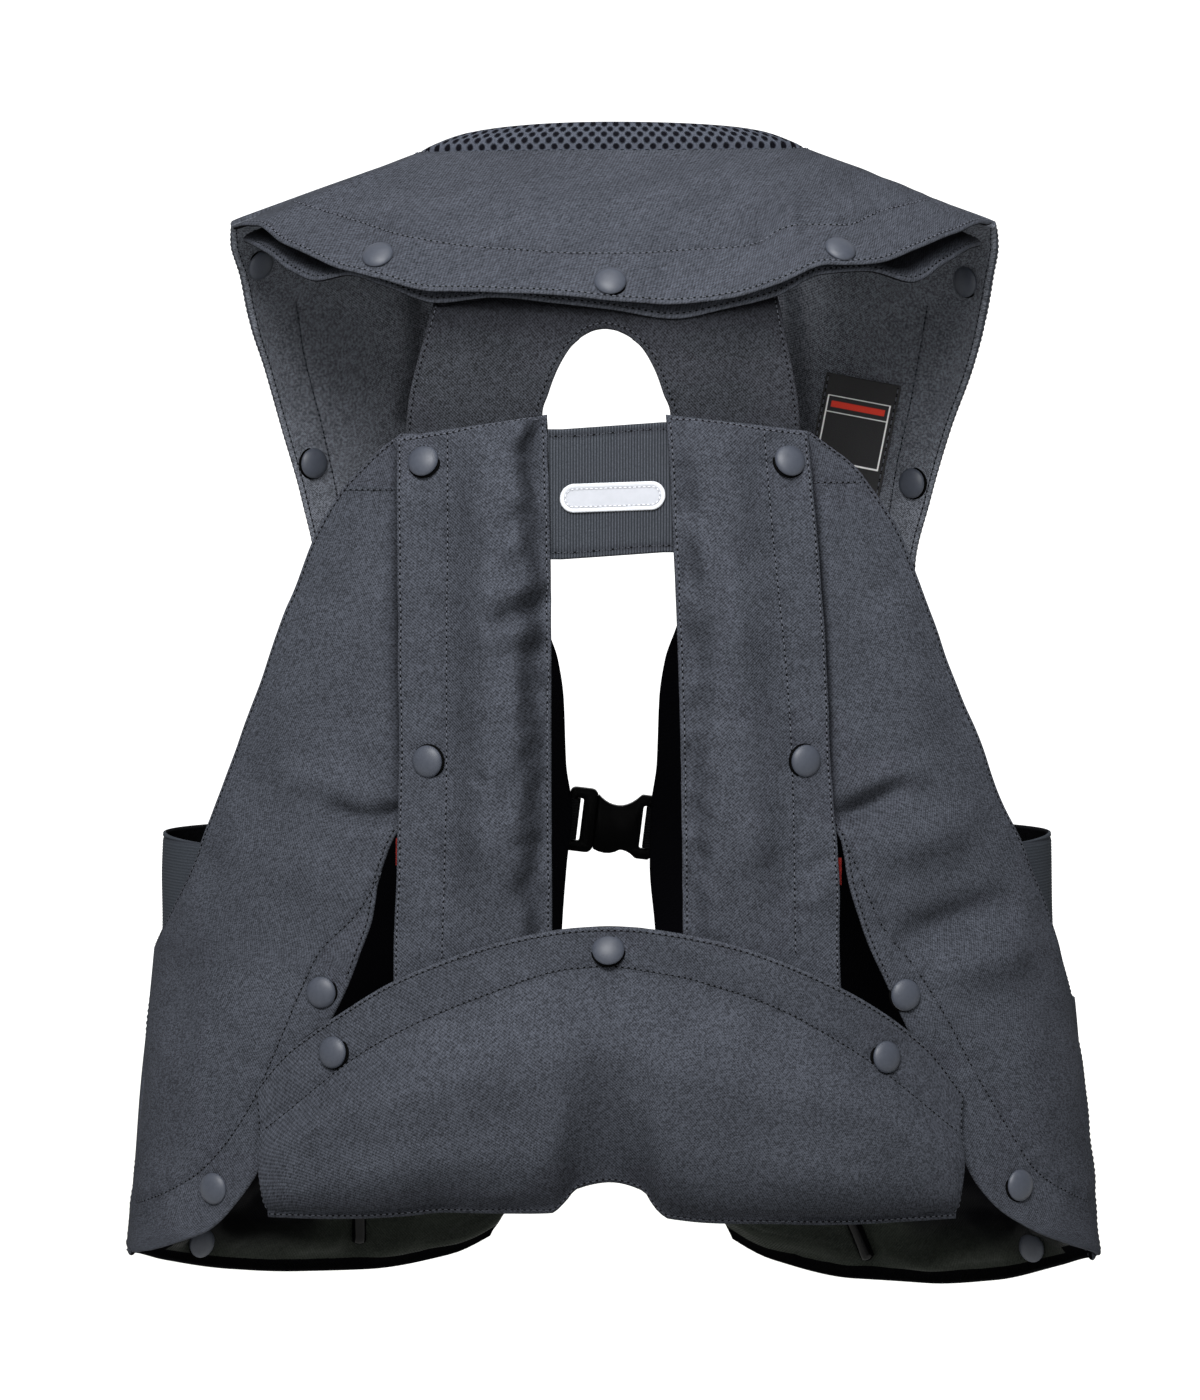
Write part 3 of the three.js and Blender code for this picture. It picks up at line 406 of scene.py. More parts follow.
# %% [markdown]
# ## The body under the cloth
# The pieces of the back and of the front lie on one oval that widens towards the hem. The angle is 0 at the
# middle of the back, a quarter turn at the side and a half turn at the front, so a piece can be given by its
# height and by its distance from the centre line alone.

# %% The oval form
BODY = {"half_width": 156, "widens": 0.106, "half_depth": 82, "deepens": 0.024}
HEM_Z = -432


def half_width(z):
    return BODY["half_width"] - BODY["widens"] * z


def half_depth(z):
    return BODY["half_depth"] - BODY["deepens"] * z


def on_body(angle, z):
    return np.stack([half_width(z) * np.sin(angle), -half_depth(z) * np.cos(angle), z + 0 * angle], -1)


def back_angle(x, z):
    return np.arcsin(np.clip(x / half_width(z), -1, 1))


def on_back(x, z):
    return on_body(back_angle(x, z), z)


def on_front(x, z):
    return on_body(math.pi - back_angle(x, z), z)


print("half width at the hem in mm:", half_width(HEM_Z))

# %% [markdown]
# ## A wall of cloth
# A sheet with a turned hem is thick in the middle and rounds off at its border. So the grid of each piece
# has a few extra lines close to its border, and the two faces come together there along a half circle. The
# faces share their border points, which closes the mesh with no separate rim. A Solidify modifier would be
# quicker, but leaves square edges that catch no light. Each grid is given as the number of its lines and
# the length of that side in millimetres.

# %% Grid helpers
HEM_ROUND = 1.0
PAD_ROUND = 1.5
HEM_STEPS = np.array([0.0, 0.08, 0.3, 0.65, 1.0])
UPWARD = (0, 0, 60)


def shares(count, length, round_off=HEM_ROUND):
    """Places from 0 to 1 along a side of this length, closer together in the rounded hems."""
    hem = HEM_STEPS * round_off / length
    middle = np.linspace(hem[-1], 1 - hem[-1], count)[1:-1]
    return np.concatenate([hem, middle, 1 - hem[::-1]])


def run_along(points, axis):
    steps = np.linalg.norm(np.diff(points, axis=axis), axis=-1)
    start = np.zeros_like(np.take(steps, [0], axis=axis))
    return np.concatenate([start, np.cumsum(steps, axis=axis)], axis=axis)


def border_distance(points):
    across = run_along(points, 1)
    down = run_along(points, 0)
    nearest = np.minimum(across, across[:, -1:] - across)
    return np.minimum(nearest, np.minimum(down, down[-1:] - down))


def unit(ways):
    return ways / (np.linalg.norm(ways, axis=-1, keepdims=True) + 1e-12)


def grid_normals(points):
    return unit(np.cross(np.gradient(points, axis=1), np.gradient(points, axis=0)))


def outward(points):
    """Unit normals of a grid that point away from the body, and whether its own order faced in."""
    normals = grid_normals(points)
    faced_in = float((normals * (points * (1, 1, 0) + UPWARD)).sum()) < 0
    return (-normals if faced_in else normals), faced_in


print("hem lines in mm from a border 10 mm long:", (10 * shares(3, 10)[:5]).round(2))

# %% Faces of a grid and of a tube
def grid_quads(index, flip=False):
    corners = [index[:-1, :-1], index[:-1, 1:], index[1:, 1:], index[1:, :-1]]
    quads = np.stack(corners, -1).reshape(-1, 4)
    return quads[:, ::-1] if flip else quads


def tube_quads(first, rings, sides):
    """Faces round a tube whose corners are numbered ring by ring from the first."""
    index = first + np.arange(rings * sides).reshape(rings, sides)
    return grid_quads(np.concatenate([index, index[:, :1]], axis=1)).tolist()


def face_tree(face):
    """A search tree that finds where a ray meets a grid of points."""
    index = np.arange(face.shape[0] * face.shape[1]).reshape(face.shape[:2])
    return BVHTree.FromPolygons([Vector(point) for point in face.reshape(-1, 3)], grid_quads(index).tolist())


def new_piece(name, points, faces, materials, face_finish):
    mesh = bpy.data.meshes.new(name)
    mesh.from_pydata((np.asarray(points) * MM).tolist(), [], [list(map(int, face)) for face in faces])
    for material in materials:
        mesh.materials.append(material)
    mesh.polygons.foreach_set("material_index", np.asarray(face_finish, np.int32))
    mesh.shade_smooth()
    mesh.update()
    return put(name, mesh)


print("faces of a tube with 3 rings of 4 corners:", len(tube_quads(0, 3, 4)))

# %% Closing two faces into one piece
THINNEST = 0.6


class Sheet:
    """A cloth piece: its grid, both faces and the Blender object made of them."""

    def __init__(self, name, points, lift, thick, finish, lining, relief=0.0, inner_relief=None, seam_and_shade=None,
                 rib=None, round_off=HEM_ROUND, lining_zones=(), grain=None, inner_seam_and_shade=None):
        self.points = points
        self.normals, faced_in = outward(points)
        level = np.zeros(points.shape[:2])
        edge = border_distance(points)
        full = np.sqrt(1 - (1 - np.clip(edge / round_off, 0, 1)) ** 2)
        relief = relief + level
        inner_relief = relief if inner_relief is None else inner_relief + level
        relief = np.maximum(relief, inner_relief + THINNEST - thick)
        self.outer = points + self.normals * (lift + relief + thick * (1 + full) / 2)[..., None]
        self.inner = points + self.normals * (lift + inner_relief + thick * (1 - full) / 2)[..., None]
        self.piece = self.closed(name, faced_in, [finish, lining], lining_zones)
        self.write("grain", (self.cut_grain() if grain is None else grain) * MM, "FLOAT_VECTOR", "vector")
        self.write("edge", edge)
        self.write("seam_and_shade", level if seam_and_shade is None else seam_and_shade, inner=inner_seam_and_shade)
        self.write("rib", level + 1 if rib is None else rib)

    def closed(self, name, faced_in, finishes, lining_zones):
        """Both faces joined along their border; zones of the inner face can have other finishes."""
        rows, columns = self.points.shape[:2]
        front = np.arange(rows * columns).reshape(rows, columns)
        back = front.copy()
        inside = np.arange((rows - 2) * (columns - 2)).reshape(rows - 2, columns - 2)
        back[1:-1, 1:-1] = rows * columns + inside
        quads = np.concatenate([grid_quads(front, faced_in), grid_quads(back, not faced_in)])
        corners = np.concatenate([self.outer.reshape(-1, 3), self.inner[1:-1, 1:-1].reshape(-1, 3)])
        cells = len(quads) // 2
        face_finish = np.repeat([0, 1], cells)
        for finish, zone in lining_zones:
            face_finish[cells:][zone[:-1, :-1].ravel()] = len(finishes)
            finishes.append(finish)
        return new_piece(name, corners, quads, finishes, face_finish)

    def cut_grain(self):
        """Distances along the cloth: across from the middle of each line, and down from the top."""
        across = run_along(self.points, 1)
        centred = across - across.mean(axis=1, keepdims=True)
        return np.stack([centred, run_along(self.points, 0), 0 * across], -1)

    def write(self, name, values, kind="FLOAT", field="value", inner=None):
        """Writes an attribute on both faces; the inner face can have its own values."""
        inside = (values if inner is None else inner)[1:-1, 1:-1]
        width = values.shape[2] if values.ndim == 3 else 1
        both = np.concatenate([values.reshape(-1, width), inside.reshape(-1, width)])
        layer = self.piece.data.attributes.new(name, kind, "POINT")
        layer.data.foreach_set(field, np.asarray(both, np.float32).ravel())

    def face(self, inside):
        return self.inner if inside else self.outer

    def settle(self, slot, *nodes):
        join_vest(self.piece, slot, *nodes)
        return self

    def padding(self, fill):
        depth = np.linalg.norm(self.outer - self.inner, axis=-1).max()
        print(f"{self.piece.name}: padded up to {depth:.0f} mm")

    def cloth(self, held, rests_on):
        """Gives back this sheet and does nothing else; held and rests_on are not used."""
        return self


print("thinnest cloth in mm:", THINNEST)

# %% [markdown]
# ## Folds, ripples and seams
# Cloth is never quite smooth. Small height fields, added along the normal, make it look sewn: folds are
# soft ridges along a short line, ripples are slow noise, dimples lie under the snaps, and along each seam
# the cloth dips under the thread and puckers between stitches. A cloth simulation could give similar
# puckers, but the folds of this vest have known places, which a field can hold to.

# %% Seams
GROOVE_DEPTH = 0.35
GROOVE_WIDTH = 1.0
PUCKER_HEIGHT = 0.35
PUCKER_LENGTH = 8.5
PUCKER_REACH = 4.5
PUCKER_DRIFT = 13.0


def bell(gap, width):
    """1 at no gap, and falling softly to nothing over a few widths."""
    return np.exp(-((gap / width) ** 2))


def line_distance(points, path):
    """Distance of grid points from a flat path in X and Z, and the run along the path to there."""
    flat = points[..., [0, 2]]
    path = np.asarray(path, float)
    nearest = np.full(flat.shape[:2], 1e9)
    run = np.zeros(flat.shape[:2])
    done = 0.0
    for start, end in zip(path[:-1], path[1:]):
        way = end - start
        length = float(np.hypot(*way)) + 1e-9
        share = np.clip(((flat - start) @ way) / length**2, 0, 1)
        gap = np.linalg.norm(flat - start - share[..., None] * way, axis=-1)
        run = np.where(gap < nearest, done + share * length, run)
        nearest = np.minimum(nearest, gap)
        done += length
    return nearest, run


def seam_relief(points, paths):
    """The dip and pucker along sewn lines, and how near each point lies to one, from 0 to 1."""
    relief = np.zeros(points.shape[:2])
    # Nearness to a seam, which darkens the cloth; pieces add painted shade to it.
    darkening = np.zeros(points.shape[:2])
    for path in paths:
        gap, run = line_distance(points, path)
        dip = bell(gap, GROOVE_WIDTH)
        wave = np.sin(math.tau * run / PUCKER_LENGTH + np.sin(run / PUCKER_DRIFT))
        relief -= GROOVE_DEPTH * dip
        relief += PUCKER_HEIGHT * wave * bell(gap, PUCKER_REACH)
        darkening = np.maximum(darkening, dip)
    return relief, darkening


print("seams dip", GROOVE_DEPTH, "mm and pucker every", PUCKER_LENGTH, "mm")

# %% Folds, ripples and dimples
FOLD_SHARE = 2.3
SEED_STEP = 7.3
DIMPLE_DEPTH = 1.1
DIMPLE_REACH = 8.0


def fold_relief(points, folds):
    """Soft ridges along short lines, from X and Z of both ends, a width and a height, minus for valleys."""
    relief = np.zeros(points.shape[:2])
    for x0, z0, x1, z1, width, height in folds:
        start = np.array([x0, z0])
        way = np.array([x1 - x0, z1 - z0], float)
        flat = points[..., [0, 2]] - start
        share = (flat @ way) / float(way @ way)
        gap = np.abs(flat[..., 0] * way[1] - flat[..., 1] * way[0]) / float(np.hypot(*way))
        fade = np.clip(1 - np.abs(2 * share - 1) ** 2, 0, 1)
        relief += FOLD_SHARE * height * fade * bell(gap, width)
    return relief


def ripple(points, size, height, seed):
    """Slow noise of this size and height in millimetres; the seed picks its pattern."""
    flat = points.reshape(-1, 3) / size + seed * SEED_STEP
    values = np.array([noise.noise(Vector(place)) for place in flat])
    return height * values.reshape(points.shape[:2])


def ripples(points, rows):
    return sum(ripple(points, *row) for row in rows)


def from_place(points, place):
    """Distance of grid points from a place in X and Z."""
    return np.linalg.norm(points[..., [0, 2]] - place, axis=-1)


def dimples(points, middles):
    return -DIMPLE_DEPTH * sum(bell(from_place(points, middle), DIMPLE_REACH) for middle in middles)


print("dimples under the snaps in mm:", DIMPLE_DEPTH)

# %% [markdown]
# ## Stitches
# A lockstitch shows as short raised dashes with a needle hole at each end, here every 2.55 mm. Painting the
# dashes would look flat from close by, so each is a small spindle of thread on the cloth. A seam is a run
# of points on a face: either a line at a fixed distance from a border, or a path drawn in X and Z and
# carried along Y onto the face.

# %% Runs of points on a face
STITCH_PITCH = 2.55
STITCH_LENGTH = 1.95
EDGE_SEAM = 2.4
RUN_STEP = 1.0
BEHIND_VEST = -400.0


def read_points(at, run, points):
    return np.stack([np.interp(at, run, points[:, k]) for k in range(3)], -1)


def border_run(sheet, side, inset=EDGE_SEAM, inside=False, above=-1000):
    """A run at a fixed distance from one border: 'top', 'bottom', 'start' or 'end'."""
    face = sheet.face(inside)
    normals = grid_normals(face)
    toward = -sheet.normals if inside else sheet.normals
    normals = np.where((normals * toward).sum(axis=-1, keepdims=True) < 0, -normals, normals)
    if side in ("top", "bottom"):
        face, normals = face.swapaxes(0, 1), normals.swapaxes(0, 1)
    if side in ("bottom", "end"):
        face, normals = face[:, ::-1], normals[:, ::-1]
    lines = list(zip(run_along(face, 1), face, normals))
    spots = np.array([read_points(inset, run, line) for run, line, _ in lines])
    ways = np.array([read_points(inset, run, line_normals) for run, _, line_normals in lines])
    done = run_along(spots[None], 1)[0]
    keep = (done > inset) & (done < done[-1] - inset) & (spots[:, 2] > above)
    return spots[keep], ways[keep]


def flat_run(sheet, path, inside=False):
    """A path in X and Z carried along Y onto the face that looks at the camera."""
    tree = face_tree(sheet.face(inside))
    path = np.asarray(path, float)
    run = np.concatenate([[0], np.cumsum(np.hypot(*np.diff(path, axis=0).T))])
    at = np.arange(0, run[-1], RUN_STEP)
    start_y = 0.0 if inside else BEHIND_VEST
    spots, ways = [], []
    for x, z in zip(through(run, path[:, 0], at), through(run, path[:, 1], at)):
        spot, way, _, _ = tree.ray_cast(Vector((x, start_y, z)), Vector((0, 1, 0)))
        if spot is not None:
            spots.append(spot)
            ways.append(-way if way.y > 0 else way)
    return np.array(spots), np.array(ways)


print("edge seams lie", EDGE_SEAM, "mm in, with a stitch every", STITCH_PITCH, "mm")

# %% Thread along the runs
THREAD_RINGS = np.array([0.0, 0.14, 0.5, 0.86, 1.0])
THREAD_RADIUS = np.array([0.05, 0.20, 0.25, 0.20, 0.05])
THREAD_RISE = np.array([-0.18, 0.06, 0.17, 0.06, -0.18])
THREAD_SIDES = 5
SHORTEST_RUN = 3
HOLE_SIDES = 6
HOLE_SIZE = 0.40
HOLE_RISE = 0.05


def full_turn(count):
    return math.tau * np.arange(count) / count


def circle(sides, one, two):
    """Corners of a circle of radius 1 in the plane of two unit vectors."""
    turn = full_turn(sides)
    return np.outer(np.cos(turn), one) + np.outer(np.sin(turn), two)


def stitches(name, runs, slot, thread=THREAD, pitch=STITCH_PITCH, length=STITCH_LENGTH, hole=NEEDLE_HOLE_AND_SHADOW):
    """Spindles of thread along the runs, each with a needle hole at both ends."""
    corners, faces, finish = [], [], []
    for spots, ways in runs:
        if len(spots) < SHORTEST_RUN:
            continue
        run = run_along(spots[None], 1)[0]
        for start in np.arange(0, run[-1] - length, pitch):
            at = start + THREAD_RINGS * length
            middle = read_points(at, run, spots)
            up = unit(read_points(at, run, ways))
            ahead = unit(middle[-1] - middle[0])
            side = np.cross(up, ahead)
            spindle = tube_quads(len(corners), len(at), THREAD_SIDES)
            faces.extend(spindle)
            finish.extend([0] * len(spindle))
            for ring in range(len(at)):
                swing = THREAD_RADIUS[ring] * circle(THREAD_SIDES, side[ring], up[ring])
                corners.extend(middle[ring] + up[ring] * THREAD_RISE[ring] + swing)
            for ring in (0, len(at) - 1):
                faces.append(range(len(corners), len(corners) + HOLE_SIDES))
                finish.append(1)
                swing = HOLE_SIZE * circle(HOLE_SIDES, side[ring], ahead)
                corners.extend(middle[ring] + up[ring] * HOLE_RISE + swing)
    join_vest(new_piece(name, corners, faces, [thread, hole], finish), slot)
    print(f"{name}: {finish.count(1) // 2} stitches")


print("thread thickness in mm:", 2 * THREAD_RADIUS.max())

# %% [markdown]
# ## Snap places
# The caps are made last, but the cloth under each is pressed in a little, so their places are read now
# from the frame: the middle of each snap's solid, and the way it faces, which is its thinnest direction.
# Eleven of them are then moved a few millimetres to where the photograph has them.

# %% Where the snaps sit
SNAP_NODES = sorted(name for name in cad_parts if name.startswith("snap_"))
SNAP_SHIFT = {
    "snap_collar_left": (0, 0, 1.5),
    "snap_strap_left_top": (-2.7, 0, 1.7),
    "snap_strap_left_low": (-3.3, 0, -0.9),
    "snap_strap_right_top": (2.9, 0, 1.7),
    "snap_strap_right_low": (4.2, 0, -0.6),
    "snap_lower_left": (-2.1, 0, 1.0),
    "snap_lower_middle": (0, 0, 3.8),
    "snap_lower_right": (2.7, 0, 0.3),
    "snap_side_right_low": (-3.2, 0, -1.4),
    "snap_hem_left": (-2.2, 0, 1.5),
    "snap_hem_right": (4.0, 0, 2.2),
}


def node_points(name):
    return np.array([vertex.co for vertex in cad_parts[name].data.vertices]) / MM


def snap_place(name):
    points = node_points(name)
    middle = (points.min(axis=0) + points.max(axis=0)) / 2
    way = np.linalg.svd(points - points.mean(axis=0))[2][2]
    return middle + SNAP_SHIFT.get(name, (0, 0, 0)), (way if way[1] < 0 else -way)


SNAP_PLACES = {name: snap_place(name) for name in SNAP_NODES}


def snaps_on(*starts):
    return [place[[0, 2]] for name, (place, _) in SNAP_PLACES.items() if name.startswith(starts)]


print("snaps:", len(SNAP_NODES))

# %% [markdown]
# ## Side panels
# Each side panel is two plies of twill from under the strap, round the side, down to the hem, with a slit
# below the strap. The table gives the distance of both edges from the centre line at each height. A facing
# inside is held by a second row of stitches, a crease runs out from the top of the slit, where the cloth is
# pulled, and a crevice lies along the edge of the strap, darkened with painted shade.

# %% Side panel sections
SEAM_ANGLE = math.pi / 2
SIDE_SEAM_TOP = -312
SIDE_PANEL = {
    "left": table("z outer inner", [
        [-91.5, 84, 74],
        [-96, 90, 72],
        [-104, 98.5, 71],
        [-114, 108, 70],
        [-131, 118.5, 70],
        [-158, 129.5, 70],
        [-185, 139, 70],
        [-212, 149.5, 70],
        [-232, 156.8, 71],
        [-241, 160, 77],
        [-251, 163.8, 86],
        [-271, 172, 93.5],
        [-286, 179.5, 96],
        [-300, 186, 101],
        [-309, 190, 104.5],
        [-319, 193, 109],
        [-352, 197, 126],
        [-391, 201, 143.5],
        [-404, 203, 152.5],
        [-416, 204, 164],
        [-424, 205, 180],
        [-431, 206, 196],
    ]),
    "right": table("z outer inner", [
        [-90.8, 78.5, 70],
        [-96, 85.6, 70],
        [-104, 96, 70],
        [-114, 104, 70],
        [-131, 114.5, 71],
        [-158, 125, 72],
        [-185, 135.5, 73],
        [-212, 146.5, 74],
        [-230, 153.5, 76],
        [-240, 157.7, 82],
        [-248, 161.3, 88.5],
        [-256, 165, 91.5],
        [-271, 171.5, 94],
        [-286, 178, 98.5],
        [-300, 182, 104],
        [-310, 184.4, 108.7],
        [-324, 188.8, 115.3],
        [-352, 196.3, 128.5],
        [-391, 201, 144],
        [-404, 203, 153.5],
        [-416, 204, 169],
        [-424, 205, 184],
        [-431, 206, 197],
        [-436.5, 207, 203],
    ]),
}
SIDE_FACING = {
    "left": [(-87, -256), (-102, -283), (-118, -300), (-125, -314), (-133, -333), (-147, -364), (-167, -391),
             (-182, -402), (-199, -411)],
    "right": [(92, -252), (97, -263), (109, -290), (121, -305), (132, -322), (146, -348), (160, -372),
              (174, -393), (198, -410)],
}
SIDE_BAR = {"left": [(-107, -114), (-85, -114)], "right": [(80, -111), (101, -111)]}
SIDE_FOLDS = {
    "left": [
        (-80, -241, -99, -247, 4, -3.0), (-95, -247, -116, -242, 4, -2.4), (-90, -236, -135, -229, 6, 1.0),
        (-100, -270, -160, -262, 12, 1.3), (-120, -160, -136, -235, 9, 0.9),
        (-150, -300, -176, -390, 14, 1.2), (-110, -190, -100, -240, 9, -0.8),
    ],
    "right": [
        (84, -249, 120, -231, 4.5, -3.6), (92, -236, 132, -224, 6, 1.2), (95, -258, 152, -250, 9, 1.6),
        (104, -272, 166, -270, 9, -0.8), (112, -296, 166, -280, 8, -3.4), (126, -310, 176, -300, 9, 2.2),
        (112, -150, 128, -225, 9, 1.0), (150, -300, 180, -390, 14, 1.3),
    ],
}
print("side panel sections:", {side: len(rows["z"]) for side, rows in SIDE_PANEL.items()})

# %% Laying the side panels
SIDE_GRID = {"down": (170, 340), "across": (46, 75)}
SIDE_RIPPLES = [(38, 1.9, 1), (14, 0.55, 2)]
FREE_CLOTH = {"from": 87, "over": 8}
TWO_PLY = 2.2
HEM_FLARE = {"from": -335, "over": 60, "left": 0.0, "right": 1.5}
STRAP_EDGE = {
    "left": table("z x", [[-95, 85.9], [-180, 85.6], [-221, 85.4], [-252, 86]]),
    "right": table("z x", [[-95, 78.7], [-140, 82.3], [-180, 85.2], [-221, 87.2], [-252, 89]]),
}
CREVICE = {"left": 4.2, "right": 2.8, "dip": 3.0, "gap": 1.7, "shade": 6.0}


def beside_strap(points, side, width):
    """How near a panel's points lie to the edge of the strap over it, from 0 to 1."""
    edge = STRAP_EDGE[side]
    z = points[..., 2]
    across = bell(np.abs(points[..., 0]) - through(edge["z"], edge["x"], z), width)
    share = (z - edge["z"][0]) / (edge["z"][-1] - edge["z"][0])
    return across * np.sqrt(np.clip(1 - (2 * share - 1) ** 2, 0, 1))


def side_panel(side, sign):
    at = span(SIDE_PANEL[side]["z"], shares(*SIDE_GRID["down"]))
    rows = read_all(SIDE_PANEL[side], "z", at)
    outer = np.minimum(back_angle(rows["outer"], at), SEAM_ANGLE)
    inner = back_angle(rows["inner"], at)
    angle = blend(outer[:, None], inner[:, None], shares(*SIDE_GRID["across"])[None, :])
    points = on_body(sign * angle, at[:, None])
    relief, darkening = seam_relief(points, [SIDE_FACING[side], SIDE_BAR[side]])
    free = np.clip((np.abs(points[..., 0]) - FREE_CLOTH["from"]) / FREE_CLOTH["over"], 0, 1)
    relief += fold_relief(points, SIDE_FOLDS[side]) + free * ripples(points, SIDE_RIPPLES)
    relief += HEM_FLARE[side] * np.clip((HEM_FLARE["from"] - points[..., 2]) / HEM_FLARE["over"], 0, 1)
    relief -= CREVICE[side] * beside_strap(points, side, CREVICE["dip"])
    relief += dimples(points, snaps_on(f"snap_side_{side}"))
    # Painted shade in the crevice along the strap's edge.
    darkening = np.maximum(darkening, CREVICE["shade"] * beside_strap(points, side, CREVICE["gap"]))
    name = f"side_panel_{side}"
    sheet = Sheet(name + "_cloth", points, 0.0, TWO_PLY, TWILL, LINING_AND_SHADE, relief, seam_and_shade=darkening)
    sheet.settle("shell_cloth", name).cloth("stretched", [f"back_strap_{side}", f"front_panel_{side}"])
    runs = [border_run(sheet, edge) for edge in ("start", "bottom")]
    runs.append(border_run(sheet, "end", above=SIDE_SEAM_TOP))
    runs += [flat_run(sheet, SIDE_FACING[side]), flat_run(sheet, SIDE_BAR[side])]
    stitches(name + "_stitching", runs, "shell_cloth", DARK_THREAD)
    return sheet


side_left = side_panel("left", -1)
side_right = side_panel("right", 1)

# %% [markdown]
# ## Back straps
# The straps are thickly padded, perhaps by the folded airbag. Along the outer edge runs a flat placket with
# the snaps, and a row of stitches parts it from the padding, which swells up to 18 mm on the left and 11 mm
# on the right and falls to the inner edge, where painted shade darkens it, more on the left. The thickness
# is therefore a sum of a thin edge and a crown that rises softly from the placket and falls again on a
# wavering line.

# %% Back strap sections
PAD_EDGE = 3.0
STRAP_LIFT = 2.9
BACK_STRAP = {
    "left": table("outer_z inner_z outer inner crown", [
        [-93, -84, 84.6, 25.6, 4],
        [-104, -98, 84.6, 25.3, 12],
        [-140, -138, 84.5, 24.3, 17],
        [-180, -180, 84.3, 24, 18],
        [-221, -221, 84.2, 24, 18],
        [-262, -262, 85, 23.8, 16],
        [-298, -288, 86.5, 23.7, 10],
        [-332, -318, 87, 24, 4],
    ]),
    "right": table("outer_z inner_z outer inner crown", [
        [-90.5, -84, 77, 20.7, 4],
        [-106, -98, 78.2, 21.8, 8],
        [-140, -138, 81, 23.8, 10.5],
        [-180, -180, 84, 25.6, 11],
        [-221, -221, 86, 26.7, 11],
        [-265, -262, 89, 27.3, 10],
        [-303, -288, 90, 27.6, 7],
        [-334, -318, 91, 28, 4],
    ]),
}
STRAP_FACING = {
    "left": [(-65.5, -92), (-65.5, -131), (-66, -173), (-66, -220), (-67, -268), (-68, -300)],
    "right": [(60, -90), (63.6, -131), (66, -155), (69.6, -191), (71.8, -232), (73, -300)],
}
STRAP_FOLDS = {
    "left": [
        (-26, -86, -36, -102, 2.5, -3.2), (-31, -85, -40, -97, 3, 1.8), (-31, -93, -31.5, -118, 4, -2.6),
        (-37, -118, -39, -136, 5, -1.5), (-35, -136, -35.5, -154, 4.5, -1.6),
        (-23, -155, -49, -170, 3.6, -2.2),
        (-30, -148, -48, -160, 4, 1.1), (-24, -175, -46, -181, 4, -1.0), (-54, -225, -46, -232, 2.5, -1.1),
        (-39, -224, -39, -245, 4.5, -1.6), (-30.5, -222, -30.5, -250, 3.5, -1.7),
        (-34, -258, -34, -282, 5, -1.9), (-28, -190, -42, -206, 6, 1.0), (-58, -240, -44, -262, 7, 0.8),
        (-24, -250, -40, -257, 4, -1.2),
    ],
    "right": [
        (30.3, -134, 30.5, -158, 3.5, -1.9), (34.5, -164, 34.5, -190, 4, -1.7),
        (33.8, -190, 33.5, -209, 4, -1.5), (30.4, -214, 30.8, -234, 3.5, -1.8),
        (31.2, -233, 31, -250, 3.5, -1.6), (30.5, -262, 31, -288, 3.8, -1.9),
        (31, -252, 41, -276, 4, -1.2), (45, -150, 52, -205, 7, 0.9), (74, -268, 88, -258, 4, -0.9),
        (72, -282, 87, -272, 4, 0.8), (50, -244, 62, -262, 7, 0.9), (26, -118, 34, -128, 4, -1.0),
        (28, -100, 30, -122, 4, -1.3),
    ],
}
print("highest padding in mm:", {side: rows["crown"].max() for side, rows in BACK_STRAP.items()})

# %% Laying the padded straps
STRAP_GRID = {"down": (125, 240, PAD_ROUND), "across": (40, 60, PAD_ROUND)}
STRAP_RIPPLES = [(26, 1.8, 3), (11, 0.55, 4)]
STRAP_FILL = 0.5
PAD_RISE = 0.5
# Its left and right values are the strength of the painted shade where the pad falls.
PAD_FALL = {"start": 0.68, "length": 0.29, "sway": (12, 0.10, 17), "left": 2.6, "right": 0.5}
VALLEY = {"inset": 7.0, "width": 4.0, "depth": 0.8}
VALLEY_LUMPS = {"share": 0.6, "ripple": (13, 1.1, 15), "least": -0.6, "most": 0.9}


